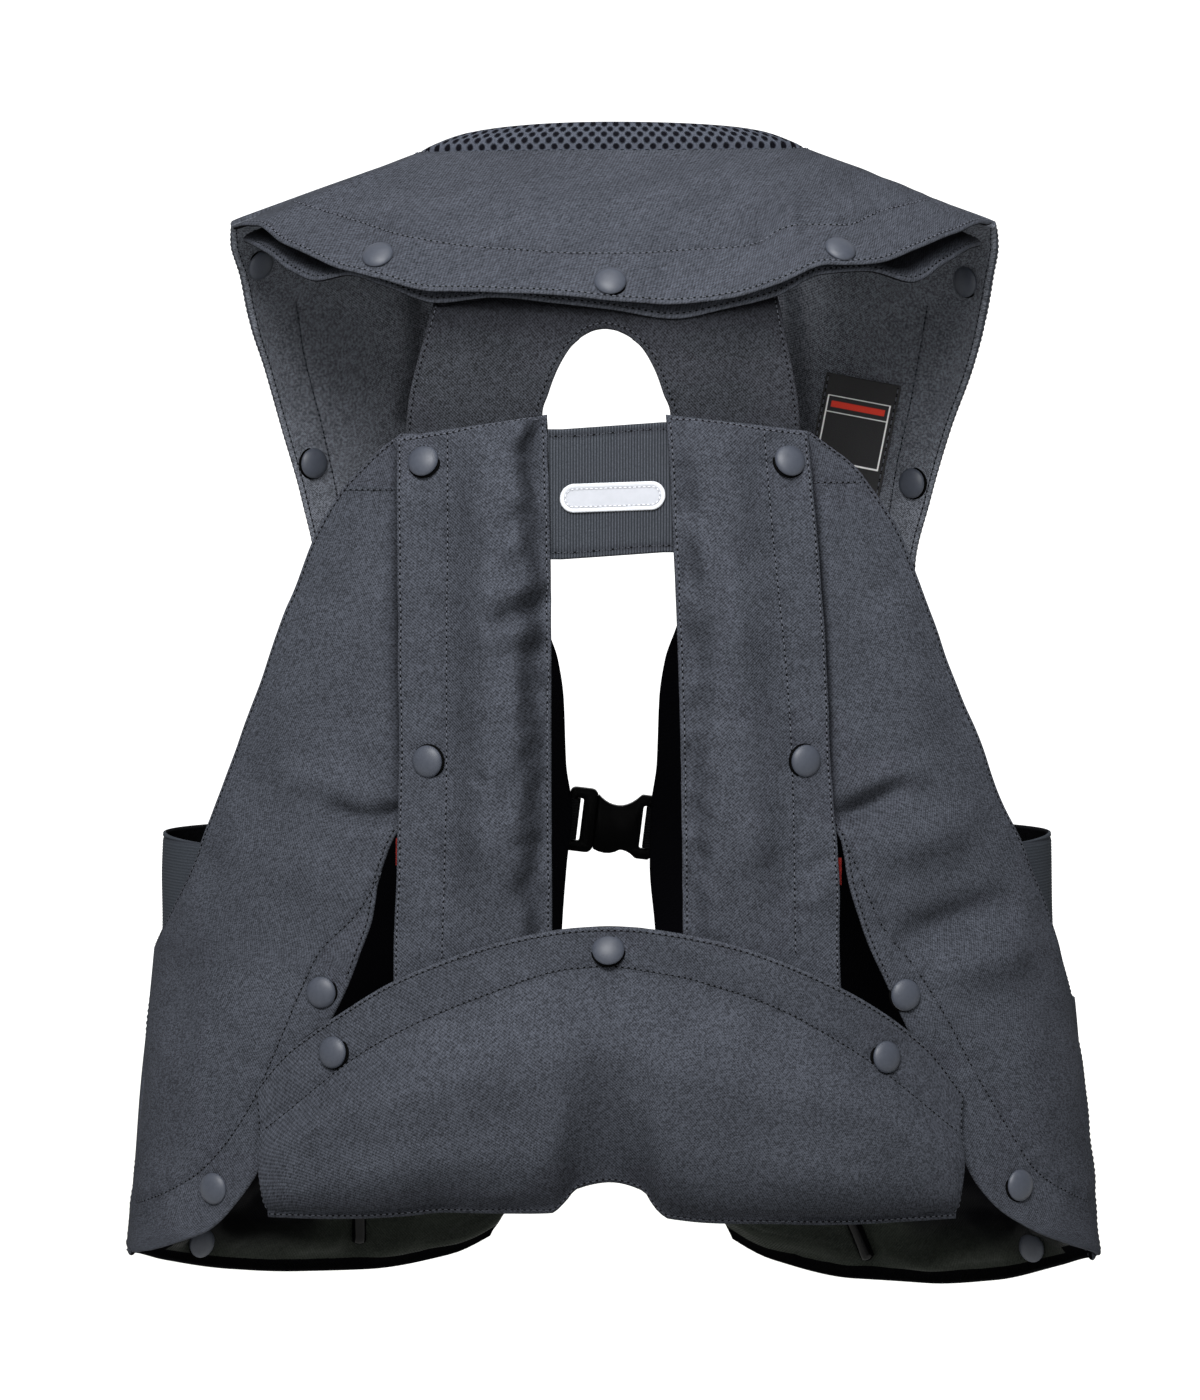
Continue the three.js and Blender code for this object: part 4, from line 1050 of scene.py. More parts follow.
def back_strap(side, sign):
    at = span(BACK_STRAP[side]["outer_z"], shares(*STRAP_GRID["down"]))
    rows = read_all(BACK_STRAP[side], "outer_z", at)
    across = shares(*STRAP_GRID["across"])[None, :]
    x = sign * blend(rows["outer"][:, None], rows["inner"][:, None], across)
    z = blend(at[:, None], rows["inner_z"][:, None], across)
    points = on_back(x, z)
    facing = STRAP_FACING[side]
    facing_x = through(np.array(facing)[:, 1], np.array(facing)[:, 0], z)
    inner_x = sign * rows["inner"][:, None]
    swell = np.clip((x - facing_x) / (inner_x - facing_x), 0, 1)
    fall_start = PAD_FALL["start"] + ripple(points, *PAD_FALL["sway"])
    fallen = smooth_step((swell - fall_start) / PAD_FALL["length"])
    round_up = smooth_step(swell / PAD_RISE) * (1 - fallen)
    thick = PAD_EDGE + (rows["crown"][:, None] - PAD_EDGE) * round_up
    uneven = np.clip(ripple(points, *VALLEY_LUMPS["ripple"]), VALLEY_LUMPS["least"], VALLEY_LUMPS["most"])
    valley = bell(np.abs(inner_x - x) - VALLEY["inset"], VALLEY["width"]) * (VALLEY_LUMPS["share"] + uneven)
    relief, darkening = seam_relief(points, [facing])
    # Painted shade where the padding falls to the inner edge.
    darkening = np.maximum(darkening, PAD_FALL[side] * 4 * fallen * (1 - fallen))
    relief += fold_relief(points, STRAP_FOLDS[side]) + ripples(points, STRAP_RIPPLES)
    relief += dimples(points, snaps_on(f"snap_strap_{side}")) - VALLEY["depth"] * valley
    name = f"back_strap_{side}"
    sheet = Sheet(name + "_pad", points, STRAP_LIFT, thick, TWILL, LINING_AND_SHADE, relief, 0.0, darkening,
                  round_off=PAD_ROUND)
    sheet.settle("shell_cloth", name).padding(STRAP_FILL)
    runs = [border_run(sheet, edge) for edge in ("start", "end", "top")] + [flat_run(sheet, facing)]
    stitches(name + "_stitching", runs, "shell_cloth")
    return sheet


strap_left = back_strap("left", -1)
strap_right = back_strap("right", 1)

# %% [markdown]
# ## Kidney flap
# The lower flap is the widest padded piece: an arched top edge held by three snaps, and a hem with a notch
# over the spine. Its sections run from left to right. Above the notch the padding is drawn in, and the
# bottom rolls under so that the hem lies in shadow. The light alone leaves both places too pale, so they
# are also darkened with painted shade.

# %% Kidney flap sections
LOWER_CROWN = 19.0
LOWER_FLAP = table("x top bottom bottom_x top_lift bottom_lift", [
    [-141.5, -356.5, -407.6, -137, 4, 4],
    [-126, -338, -407.2, -122, 5.5, 3.6],
    [-105, -322.5, -406.1, -103, 8, 3.8],
    [-84.5, -309.5, -404.4, -84, 10.9, 4],
    [-64, -300, -402.1, -64, 11.3, 4.2],
    [-44.5, -293, -402, -44.5, 11.3, 4.2],
    [-23, -288, -401.5, -24, 11.1, 4.2],
    [-18, -287.3, -397, -18.6, 11.1, 4.2],
    [-13, -286.8, -391.8, -14, 11.1, 4.2],
    [-1.5, -286.3, -389, -1, 11.1, 4.2],
    [10, -286.8, -392.6, 12, 11.1, 4.2],
    [14.5, -287.4, -399.4, 16.6, 11.1, 4.2],
    [19, -288, -403.8, 22, 11.1, 4.2],
    [43, -293, -406, 43, 11.3, 4.2],
    [64, -300.5, -406.5, 64, 11.3, 4.2],
    [83, -309.5, -407.5, 82, 10.9, 4],
    [104, -322, -408.1, 102, 8, 3.8],
    [124, -338, -407.9, 120, 5.5, 3.6],
    [139.5, -358.5, -408, 136.3, 4, 4],
])
LOWER_FACING = [(-141, -372), (-92, -333), (-54, -315), (-17, -303), (-2, -302), (21, -305), (58, -316),
                (96, -337), (140, -373)]
LOWER_FOLDS = [
    (24, -297, 34, -312, 4, -0.9), (-60, -330, -110, -372, 16, 1.0), (60, -330, 112, -370, 16, 1.0),
    (-30, -372, -112, -392, 9, 0.8), (30, -376, 108, -394, 9, 0.8), (-14, -350, -30, -392, 7, 1.2),
    (10, -350, 28, -394, 7, 1.2), (-24, -396, -52, -400, 3, -0.8),
]
print("kidney flap sections:", len(LOWER_FLAP["x"]))

# %% Laying the kidney flap
LOWER_GRID = {"across": (150, 290, PAD_ROUND), "down": (52, 95, PAD_ROUND)}
LOWER_RIPPLES = [(34, 1.7, 5), (13, 0.55, 6)]
LOWER_FILL = 0.45
LOWER_HOLLOW = {"x": -3, "half_width": 17, "narrow": 0.35, "widen": 0.75, "share": 0.97, "shade": 3.0}
LOWER_ENDS = {"half_width": 140, "sharpness": 6}
HEM_STRIP = 3.5
UNDERSIDE = {"from": 0.68, "shade": 3.0}
LOWER_PEAK = 0.42
LOWER_FALL = 1.8


def lower_flap():
    at = span(LOWER_FLAP["x"], shares(*LOWER_GRID["across"]))
    rows = read_all(LOWER_FLAP, "x", at)
    down = shares(*LOWER_GRID["down"])[:, None]
    points = on_back(blend(at, rows["bottom_x"], down), blend(rows["top"], rows["bottom"], down))
    lift = blend(rows["top_lift"], rows["bottom_lift"], down)
    facing_z = through(*np.array(LOWER_FACING).T, points[..., 0])
    swell = np.clip((facing_z - points[..., 2]) / (facing_z - rows["bottom"] - HEM_STRIP), 0, 1)
    aside = np.abs(points[..., 0] / LOWER_ENDS["half_width"])
    ends = np.sqrt(np.clip(1 - aside ** LOWER_ENDS["sharpness"], 0, 1))
    hollow_width = LOWER_HOLLOW["half_width"] * (LOWER_HOLLOW["narrow"] + LOWER_HOLLOW["widen"] * swell)
    hollow = bell(points[..., 0] - LOWER_HOLLOW["x"], hollow_width) * swell**2
    fall = np.clip((swell - LOWER_PEAK) / (1 - LOWER_PEAK), 0, 1)
    crown = smooth_step(swell / LOWER_PEAK) * np.sqrt(1 - fall**LOWER_FALL)
    thick = PAD_EDGE + (LOWER_CROWN - PAD_EDGE) * crown * ends * (1 - LOWER_HOLLOW["share"] * hollow)
    relief, darkening = seam_relief(points, [LOWER_FACING])
    under = smooth_step((swell - UNDERSIDE["from"]) / (1 - UNDERSIDE["from"]))
    # Painted shade in the hollow over the notch and under the rolled bottom.
    darkening = np.maximum(darkening, np.maximum(LOWER_HOLLOW["shade"] * hollow, UNDERSIDE["shade"] * under))
    relief += fold_relief(points, LOWER_FOLDS) + ripples(points, LOWER_RIPPLES)
    relief += dimples(points, snaps_on("snap_lower"))
    sheet = Sheet("lower_flap_pad", points, lift, thick, TWILL, LINING_AND_SHADE, relief, 0.0, darkening,
                  round_off=PAD_ROUND)
    sheet.settle("shell_cloth", "lower_flap").padding(LOWER_FILL)
    runs = [border_run(sheet, edge) for edge in ("top", "bottom", "start", "end")]
    runs.append(flat_run(sheet, LOWER_FACING))
    stitches("lower_flap_stitching", runs, "shell_cloth", DARK_THREAD)
    return sheet


kidney_flap = lower_flap()

# %% [markdown]
# ## Collar
# The collar falls like a cape from the neck over the shoulders. Flap and under ply are rows of slopes from
# an oval at the neck to a wider oval at the edge, whose height the table gives by angle. The slope swells a
# little at the back and runs straight at the shoulder tips. The under ply is shaded where the flap covers
# it, so only its wavy edge shows.

# %% Collar sections
NECK = {"width": 80, "depth": 29, "z": 24, "left_drop": 0.2, "right_drop": -1.6}
COLLAR = table("angle flap under", [
    [-90, -7.5, -11],
    [-77, -7.2, -13.6],
    [-67, -7, -18],
    [-58, -15, -26],
    [-51, -20, -30],
    [-44, -25.5, -28],
    [-36, -30, -33],
    [-27, -35, -39.5],
    [-18, -35.5, -37.5],
    [-8, -37, -40],
    [0, -39, -42.5],
    [9, -40.5, -46],
    [17, -38, -42],
    [25, -32, -37],
    [33, -24.5, -28],
    [42, -23.7, -26.5],
    [52, -17, -30.5],
    [62, -10.5, -22.5],
    [74, -6, -15.6],
    [90, -5.6, -13],
])
COLLAR_FACING = [(-130, 3), (-103, -6), (-81, -13), (-56, -17), (-31, -19), (-14, -20), (8, -20), (23, -19),
                 (52, -17), (61, -14), (67, -10), (77, -8), (93, -8), (108, -2), (130, 4)]
COLLAR_FOLDS = [
    (64, 2, 58, -20, 4, -1.3), (72, 4, 70, -16, 5, 1.0), (-30, 14, -44, -16, 9, 0.9),
    (24, 14, 34, -14, 9, 0.8), (-96, 8, -70, -20, 8, 0.9), (100, 6, 84, -14, 7, 0.9),
    (0, 10, 2, -22, 10, -0.6), (18, -22, 22, -38, 5, -0.8),
]


def neck_height(angle):
    drop = np.where(angle < 0, NECK["left_drop"], NECK["right_drop"])
    return NECK["z"] - drop * np.sin(angle) ** 2


def ring(angle, width, depth, z):
    return np.stack([width * np.sin(angle), -depth * np.cos(angle), z + 0 * angle], -1)


def slope(angle, share, step, edge_width, edge_depth, edge_z, swell):
    """A point on a slope that runs from the neck oval, stepped in, to an outer oval."""
    top = ring(angle, NECK["width"] - step, NECK["depth"] - step, neck_height(angle) - step)
    low = ring(angle, edge_width, edge_depth, edge_z)
    out = unit((low - top) * (1, 1, 0))
    rise = swell * np.sin(math.pi * share) * np.cos(angle) * math.sqrt(0.5)
    return blend(top, low, share[..., None]) + rise[..., None] * (out + np.array([0, 0, 1.0]))


print("collar edge in mm from", COLLAR["flap"].min(), "at the back to", COLLAR["flap"].max(), "at a tip")

# %% Laying both collar plies
COLLAR_GRID = {"round": (230, 390), "down": (40, 95)}
COLLAR_PLY = {
    "flap": {"step": 0.0, "width": 157, "depth": 92, "swell": 5, "thick": 1.8},
    "under": {"step": 2.2, "width": 153, "depth": 86, "swell": 3, "thick": TWO_PLY},
}
COLLAR_SWELLS = (36, 1.8, 7)
COLLAR_CRUMPLE = (13, 0.4, 8)
COLLAR_CALM = 3
COLLAR_DROP = -1.2
TIP_ROUND = 0.07
TIP_WIDTH = 3.0
UNDER_PLY = {"shade": 5.5, "from": 0.91, "over": 0.05}
NECK_SEAM = 1.6


def flap_relief(points, share):
    relief, darkening = seam_relief(points, [COLLAR_FACING])
    calm = np.clip(share * COLLAR_CALM, 0, 1)
    relief += calm * (fold_relief(points, COLLAR_FOLDS) + np.abs(ripple(points, *COLLAR_SWELLS)))
    relief += calm * ripple(points, *COLLAR_CRUMPLE) + dimples(points, snaps_on("snap_collar"))
    return relief, darkening


def collar_ply(ply):
    size = COLLAR_PLY[ply]
    degrees = blend(-90, 90, shares(*COLLAR_GRID["round"]))
    down = shares(*COLLAR_GRID["down"])[None, :]
    angle = np.radians(degrees)[:, None] + 0 * down
    edge_z = through(COLLAR["angle"], COLLAR[ply], degrees)[:, None] + 0 * down
    share = down * (1 - TIP_ROUND * bell(90 - np.abs(degrees), TIP_WIDTH)[:, None])
    points = slope(angle, share, size["step"], size["width"], size["depth"], edge_z, size["swell"])
    if ply == "flap":
        relief, darkening = flap_relief(points, share)
    else:
        relief = 0.0
        # Painted shade on the under ply where the flap covers it.
        darkening = UNDER_PLY["shade"] * (1 - smooth_step((share - UNDER_PLY["from"]) / UNDER_PLY["over"]))
    name = f"collar_{ply}"
    sheet = Sheet(name + "_cloth", points, COLLAR_DROP, size["thick"], TWILL, LINING_AND_SHADE, relief, seam_and_shade=darkening)
    return sheet.settle("shell_cloth", name).cloth("draped", ["front_panel_left", "front_panel_right"])


collar_flap = collar_ply("flap")
collar_under = collar_ply("under")
collar_runs = [border_run(collar_flap, "end"), border_run(collar_flap, "start", NECK_SEAM)]
collar_runs.append(flat_run(collar_flap, COLLAR_FACING))
stitches("collar_flap_stitching", collar_runs, "shell_cloth")
stitches("collar_under_stitching", [border_run(collar_under, "end")], "shell_cloth", DARK_THREAD)

# %% [markdown]
# ## Neck mesh
# A strip of spacer mesh rolls over the back of the neck. It is knitted with round holes in slanting rows,
# about 3 mm apart. Blender's Voronoi texture with no randomness is a square lattice of cell centres, so
# turned by half a right angle it gives that pattern, both as dark holes and as a dent in the surface.

# %% Mesh finish
MESH_PITCH = 0.0031
MESH_HOLE = {"from": 0.24, "to": 0.42, "depth": 0.0012}
MESH_DARK = (0.013, 0.0147, 0.019)
MESH_LIGHT = (0.047, 0.052, 0.066)
HOLE_TONE = (0.002, 0.002, 0.003)


def spacer_mesh():
    material, tree, shader = new_finish("spacer_mesh", 0.85, 0.01)
    grain = attribute(tree, "grain")
    turned = node(tree, "ShaderNodeMapping", {"Vector": grain, "Rotation": (0, 0, math.pi / 4)}).outputs[0]
    lattice = {"Vector": turned, "Scale": 1 / MESH_PITCH, "Randomness": 0.0}
    distance = node(tree, "ShaderNodeTexVoronoi", lattice).outputs["Distance"]
    cover = spread(tree, distance, MESH_HOLE["from"], MESH_HOLE["to"])
    knit = mix(tree, speckle(tree, grain, 1500.0, 2.0), tone(*MESH_DARK), tone(*MESH_LIGHT))
    tree.links.new(mix(tree, cover, tone(*HOLE_TONE), knit), shader.inputs["Base Color"])
    bump(tree, shader, cover, MESH_HOLE["depth"], 0.9)
    return material


SPACER_MESH = spacer_mesh()
print("mesh holes in mm apart:", MESH_PITCH * 1000)

# %% Rolling the mesh over the neck
NECK_MESH = table("place inward up", [
    [-4, 1.3, -3.5],
    [0, 1.3, 1.6],
    [5, 4, 6],
    [11, 9, 9.2],
    [17, 14, 7],
    [26, 16, -1],
    [39, 16.5, -14],
])
MESH_GRID = {"round": (180, 230), "over": (40, 43)}
MESH_FALL = 0.9
MESH_THICK = 2.4
MESH_DEPTH_SHARE = 0.6
MESH_END = {"sink": 2.2, "sharpness": 16}


def neck_mesh():
    angle = (math.pi * (shares(*MESH_GRID["round"]) - 0.5))[:, None]
    rows = read_all(NECK_MESH, "place", span(NECK_MESH["place"], shares(*MESH_GRID["over"])))
    width = NECK["width"] - rows["inward"][None, :] + 0 * angle
    depth = NECK["depth"] - MESH_DEPTH_SHARE * rows["inward"][None, :] + 0 * angle
    base = neck_height(angle) - MESH_END["sink"] * np.sin(angle) ** MESH_END["sharpness"]
    rise = np.where(rows["up"] > 0, rows["up"] * np.abs(np.cos(angle)) ** MESH_FALL, rows["up"])
    points = ring(angle + 0 * width, width, depth, base + rise)
    along = run_along(points, 0).mean(axis=1)[:, None] + 0 * width
    grain = np.stack([run_along(points, 1), along, 0 * along], -1)
    sheet = Sheet("collar_mesh_roll", points, 0.0, MESH_THICK, SPACER_MESH, SPACER_MESH, grain=grain)
    sheet.settle("spacer_mesh", "collar_mesh").cloth("stretched", ["collar_flap"])


neck_mesh()

# %% [markdown]
# ## Yoke
# Between collar and straps lies a yoke with an arched hole. A grid with a hole needs cutting, which leaves
# ragged edges, so this grid runs along the arch instead: one side follows the arch, the other the yoke's
# outline, and both ends are the hem on either side of the hole. The part under the collar is shaded.

# %% Yoke outlines
YOKE_OUTLINE = [(-84, -112), (-81.5, -80), (-78.5, -66), (-75, -54), (-68, -30), (-60, -7), (-52, 15),
                (0, 15), (52, 15), (58, -7), (64, -30), (69, -54), (71.5, -66), (74, -80), (76, -112)]
YOKE_ARCH = [(-28, -112), (-27.8, -84), (-25.4, -75.4), (-21.8, -65.9), (-15.8, -56.3), (-10.5, -52.4),
             (-6.5, -50.9), (-3, -50.5), (0.5, -50.9), (4.8, -52.4), (10.6, -56.3), (16.6, -65.9),
             (20.1, -75.4), (22.9, -84), (23.2, -112)]
YOKE_STEP = 4.6
YOKE_LEAN = {"reach": 9.0, "from": -54, "over": 36}
YOKE_EASE = {"from": -28, "over": 26}
YOKE_EDGE = {"width": 147, "depth": 80, "z": -46}


def yoke_point(x, z):
    """On the collar's slope near the neck, on the back below it, and eased from one to the other."""
    top_z = NECK["z"] - YOKE_STEP
    share = np.clip((top_z - z) / (top_z - YOKE_EDGE["z"]), 0, 1)
    reach = blend(NECK["width"] - YOKE_STEP, YOKE_EDGE["width"], share)
    angle = np.arcsin(np.clip(x / reach, -1, 1))
    high = slope(angle, share, YOKE_STEP, YOKE_EDGE["width"], YOKE_EDGE["depth"], YOKE_EDGE["z"], 0.0)
    lean = YOKE_LEAN["reach"] * np.clip((YOKE_LEAN["from"] - z) / YOKE_LEAN["over"], 0, 1)
    low = on_back(x, z) + np.array([0, 1.0, 0]) * lean[..., None]
    return blend(high, low, smooth_step((YOKE_EASE["from"] - z) / YOKE_EASE["over"])[..., None])


print("arch top in mm:", max(z for _, z in YOKE_ARCH))

# %% Laying the yoke
YOKE_GRID = {"along": (150, 240), "across": (34, 60)}
YOKE_RIPPLE = (30, 0.35, 9)
YOKE_SEAMS = {"start": 3.0, "end": 2.6}
UNDER_COLLAR = {"z": -64, "over": 22, "shade": 5.0}


def back_yoke():
    along = shares(*YOKE_GRID["along"])
    places = np.linspace(0, 1, len(YOKE_OUTLINE))
    across = shares(*YOKE_GRID["across"])[None, :]
    flat = []
    for arch, outline in zip(np.array(YOKE_ARCH).T, np.array(YOKE_OUTLINE).T):
        edges = [through(places, column, along)[:, None] for column in (arch, outline)]
        flat.append(blend(*edges, across))
    points = yoke_point(*flat)
    level = points[..., [0, 2, 2]] * (1, -1, 0)
    # Painted shade just under the collar.
    shade = UNDER_COLLAR["shade"] * smooth_step((points[..., 2] - UNDER_COLLAR["z"]) / UNDER_COLLAR["over"])
    sheet = Sheet("back_yoke_cloth", points, 0.0, TWO_PLY, SHADOWED_TWILL, LINING_AND_SHADE, ripple(points, *YOKE_RIPPLE),
                  seam_and_shade=shade, grain=level)
    sheet.settle("shell_cloth", "back_yoke")
    sheet.cloth("hung", ["collar_under", "back_strap_left", "back_strap_right"])
    runs = [border_run(sheet, side, inset) for side, inset in YOKE_SEAMS.items()]
    stitches("back_yoke_stitching", runs, "shell_cloth", DARK_THREAD)


back_yoke()

# %% [markdown]
# ## Cross band
# A wide ribbed elastic joins the straps. Its ribs are 1.15 mm apart and run down the band, so the grid has
# nearly six columns to a rib and the relief follows a rounded wave. The stitches along its two long edges
# are dark.

# %% Ribbed band
BAND_GRID = {"across": (370, 74), "down": (40, 51)}
BAND_RIPPLE = (20, 0.5, 10)
RIB_PITCH = 1.15
RIB_HEIGHT = 0.32
BAND_HEM = 2.8
BAND = {"half": 37, "top": -88.3, "bottom": -140, "rise": 0.07, "slanted": 20, "thick": 2.2}


def rounded_ribs(places, pitch):
    """1 on the crest of each rib and 0 in the grooves."""
    return 0.5 + 0.5 * np.cos(math.tau * places / pitch)


def cross_band():
    x = blend(-BAND["half"], BAND["half"], shares(*BAND_GRID["across"]))[None, :]
    slant = BAND["rise"] * np.clip(x, -BAND["slanted"], BAND["slanted"])
    z = blend(BAND["top"], BAND["bottom"], shares(*BAND_GRID["down"]))[:, None] + slant
    points = on_back(x + 0 * z, z)
    # The ribs also paint shade into their grooves through the finish.
    rib = rounded_ribs(points[..., 0], RIB_PITCH)
    lean = BAND["rise"] * BAND["slanted"]
    ends = [(-BAND["half"], -lean), (-BAND["slanted"], -lean), (BAND["slanted"], lean), (BAND["half"], lean)]
    hems = [[(place, height + rise) for place, rise in ends]
            for height in (BAND["top"] - BAND_HEM, BAND["bottom"] + BAND_HEM)]
    relief, darkening = seam_relief(points, hems)
    relief += RIB_HEIGHT * (rib - 1) + ripple(points, *BAND_RIPPLE)
    sheet = Sheet("cross_band_elastic", points, 0.0, BAND["thick"], ELASTIC, ELASTIC, relief, 0.0, darkening, rib)
    sheet.settle("ribbed_elastic", "cross_band").cloth("stretched", ["back_strap_left", "back_strap_right"])
    stitches("cross_band_stitching", [flat_run(sheet, hem) for hem in hems], "ribbed_elastic", DARK_THREAD)


cross_band()

# %% [markdown]
# ## Badge
# On the band sits an oblong badge of pale moulded film with a raised rim and a sewn line inside it. It is
# built from rings of the same outline, each stepped in from the last, with a height for each step.

# %% Badge finish and rings
BADGE = {"x": 0.0, "z": -116.5, "length": 42.0, "height": 11.5, "rise": 0.035, "lift": 2.6}
BADGE_RINGS = table("inset height", [
    [0.35, 0.0],
    [0.0, 0.35],
    [0.2, 0.8],
    [0.7, 1.05],
    [1.2, 0.85],
    [1.6, 0.6],
    [3.0, 0.58],
    [5.4, 0.62],
])
BADGE_FILM = mottled("badge_film", (0.20, 0.207, 0.225), (0.25, 0.258, 0.28), 0.5, 0.1, size=0.004)
BADGE_RIM = mottled("badge_rim", (0.30, 0.31, 0.33), (0.36, 0.37, 0.39), 0.45, 0.1, size=0.004)
BADGE_THREAD = mottled("badge_thread", (0.34, 0.35, 0.38), (0.46, 0.47, 0.50), 0.6, 0.1, size=0.0004)
BADGE_GROOVE = mottled("badge_groove", (0.15, 0.155, 0.17), (0.20, 0.205, 0.22), 0.7, 0.1, size=0.0004)


def oblong(inset, count):
    """The badge's outline, stepped in by the inset: two half circles joined by straight lines."""
    radius = BADGE["height"] / 2
    straight = BADGE["length"] / 2 - radius
    turn = full_turn(count)
    along = np.cos(turn) * (radius - inset) + straight * np.sign(np.cos(turn))
    return along, np.sin(turn) * (radius - inset)


def ring_stack(name, rings, material, base_finish, base_bands):
    """A closed piece from a stack of rings with the same number of points, capped at both ends."""
    rings = np.array(rings)
    count, sides = rings.shape[:2]
    first = list(range(sides))
    faces = tube_quads(0, count, sides) + [first[::-1], [corner + (count - 1) * sides for corner in first]]
    finish = [1 if band < base_bands * sides else 0 for band in range(len(faces))]
    piece = new_piece(name, rings.reshape(-1, 3), faces, [material, base_finish], finish)
    mesh = bmesh.new()
    mesh.from_mesh(piece.data)
    bmesh.ops.recalc_face_normals(mesh, faces=mesh.faces)
    mesh.to_mesh(piece.data)
    mesh.free()
    return piece


print("badge in mm:", BADGE["length"], "x", BADGE["height"])

# %% Seating the badge on the band
BADGE_SIDES = 96
BADGE_RIM_BANDS = 5
BADGE_SEAM = {"inset": 2.2, "sides": 200, "height": 0.62, "pitch": 1.9, "length": 1.3}
TO_CAMERA = np.array([0.0, -1.0, 0.0])


def badge_ring(inset, height, sides):
    along, up = oblong(inset, sides)
    base = on_back(BADGE["x"] + along, BADGE["z"] + BADGE["rise"] * along + up)
    return base + TO_CAMERA * (BADGE["lift"] + height)


def badge():
    rings = [badge_ring(inset, height, BADGE_SIDES) for inset, height in zip(*BADGE_RINGS.values())]
    join_vest(ring_stack("badge_film", rings, BADGE_FILM, BADGE_RIM, BADGE_RIM_BANDS), "badge", "badge")
    spots = badge_ring(BADGE_SEAM["inset"], BADGE_SEAM["height"], BADGE_SEAM["sides"])
    runs = [(spots, np.tile(TO_CAMERA, (len(spots), 1)))]
    stitches("badge_stitching", runs, "badge", BADGE_THREAD, BADGE_SEAM["pitch"], BADGE_SEAM["length"],
             BADGE_GROOVE)


badge()

# %% [markdown]
# ## Front panels
# The front panels run from the hem up the chest and roll over the shoulder under the collar. From behind,
# only their inner faces show: a much lighter twill at the wings beside the neck, which paints light onto
# them, near-black lining below, which is partly painted shade, and black satin inside the hem, which is
# wrinkled where it is gathered and ends in a narrow strip of lining painted black as shade. Painted shade
# leaves the hem's satin bright only near its edge, and darkens a tuck beside the yoke. The outer faces are
# finished plainly with the same twill as the back.

# %% Front panel sections
SHOULDER_Z = -45
SHOULDER_ROLL = 110
FRONT_PANEL = table("place hem inner_left inner_right left right", [
    [-432, 1, 53, 53, 206, 206],
    [-419, 0.66, 42, 42, 205, 205],
    [-400, 0.3, 33, 33, 203, 203],
    [-372, 0, 26, 26, 201, 201],
    [-340, 0, 22.5, 21.5, 197, 195.6],
    [-320, 0, 22, 20, 193, 187],
    [-305, 0, 21.3, 18.7, 188, 183],
    [-280, 0, 19.4, 16.6, 178, 176],
    [-256, 0, 17, 17, 164, 164],
    [-236, 0, 19.6, 19.6, 154.5, 154.5],
    [-207, 0, 20.7, 20.7, 143, 143],
    [-190, 0, 23.2, 23.2, 137.5, 137.5],
    [-177, 0, 27.7, 27.7, 132, 133.5],
    [-150, 0, 37, 37, 126.5, 129],
    [-120, 0, 43, 43, 131.5, 135],
    [-90, 0, 53, 53, 139, 142.5],
    [-64, 0, 61, 61, 145.5, 150.5],
    [-45, 0, 66, 66, 150.3, 154.2],
    [-12, 0, 70, 70, 153.6, 156.8],
    [21, 0, 74.5, 74.5, 157, 158.5],
    [65, 0, 80, 80, 157.5, 158.5],
])
FRONT_HEM = table("x left right", [
    [40, 2, 2],
    [53, 12, 13.4],
    [71, 20, 22.4],
    [106, 25, 29.1],
    [136, 24, 29.1],
    [165, 20, 25],
    [190, 12, 14.5],
    [206, 1, 3],
])
FRONT_CROWN = 7.0
WING_FACING = {"left": [(-134, -36), (-131, -58), (-124, -88), (-118, -117), (-114, -140)],
               "right": [(134, -38), (128, -76), (122, -106), (119, -126), (116, -145)]}
WING_TUCK = {"left": [(-84, -24), (-83, -62), (-88, -84)], "right": [(76, -24), (79, -60), (84, -96)],
             "width": 6.0, "depth": 2.0, "shade": 4.5}


def half_round(share, crown):
    return PAD_EDGE + (crown - PAD_EDGE) * np.sqrt(np.clip(1 - (2 * share - 1) ** 2, 0, 1))


print("front panel sections:", len(FRONT_PANEL["place"]), "and hem sections:", len(FRONT_HEM["x"]))

# %% Bending the front panels over the shoulder
FRONT_GRID = {"up": (230, 520, PAD_ROUND), "across": (62, 150, PAD_ROUND)}
SHOULDER_TOP = {"neck": 20.5, "tip": -7, "from": 80, "over": 78}
SHOULDER_LEAN = 0.4
SEAM_TUCK = {"depth": 1.5, "from": 0.93, "below": -280, "over": 40}


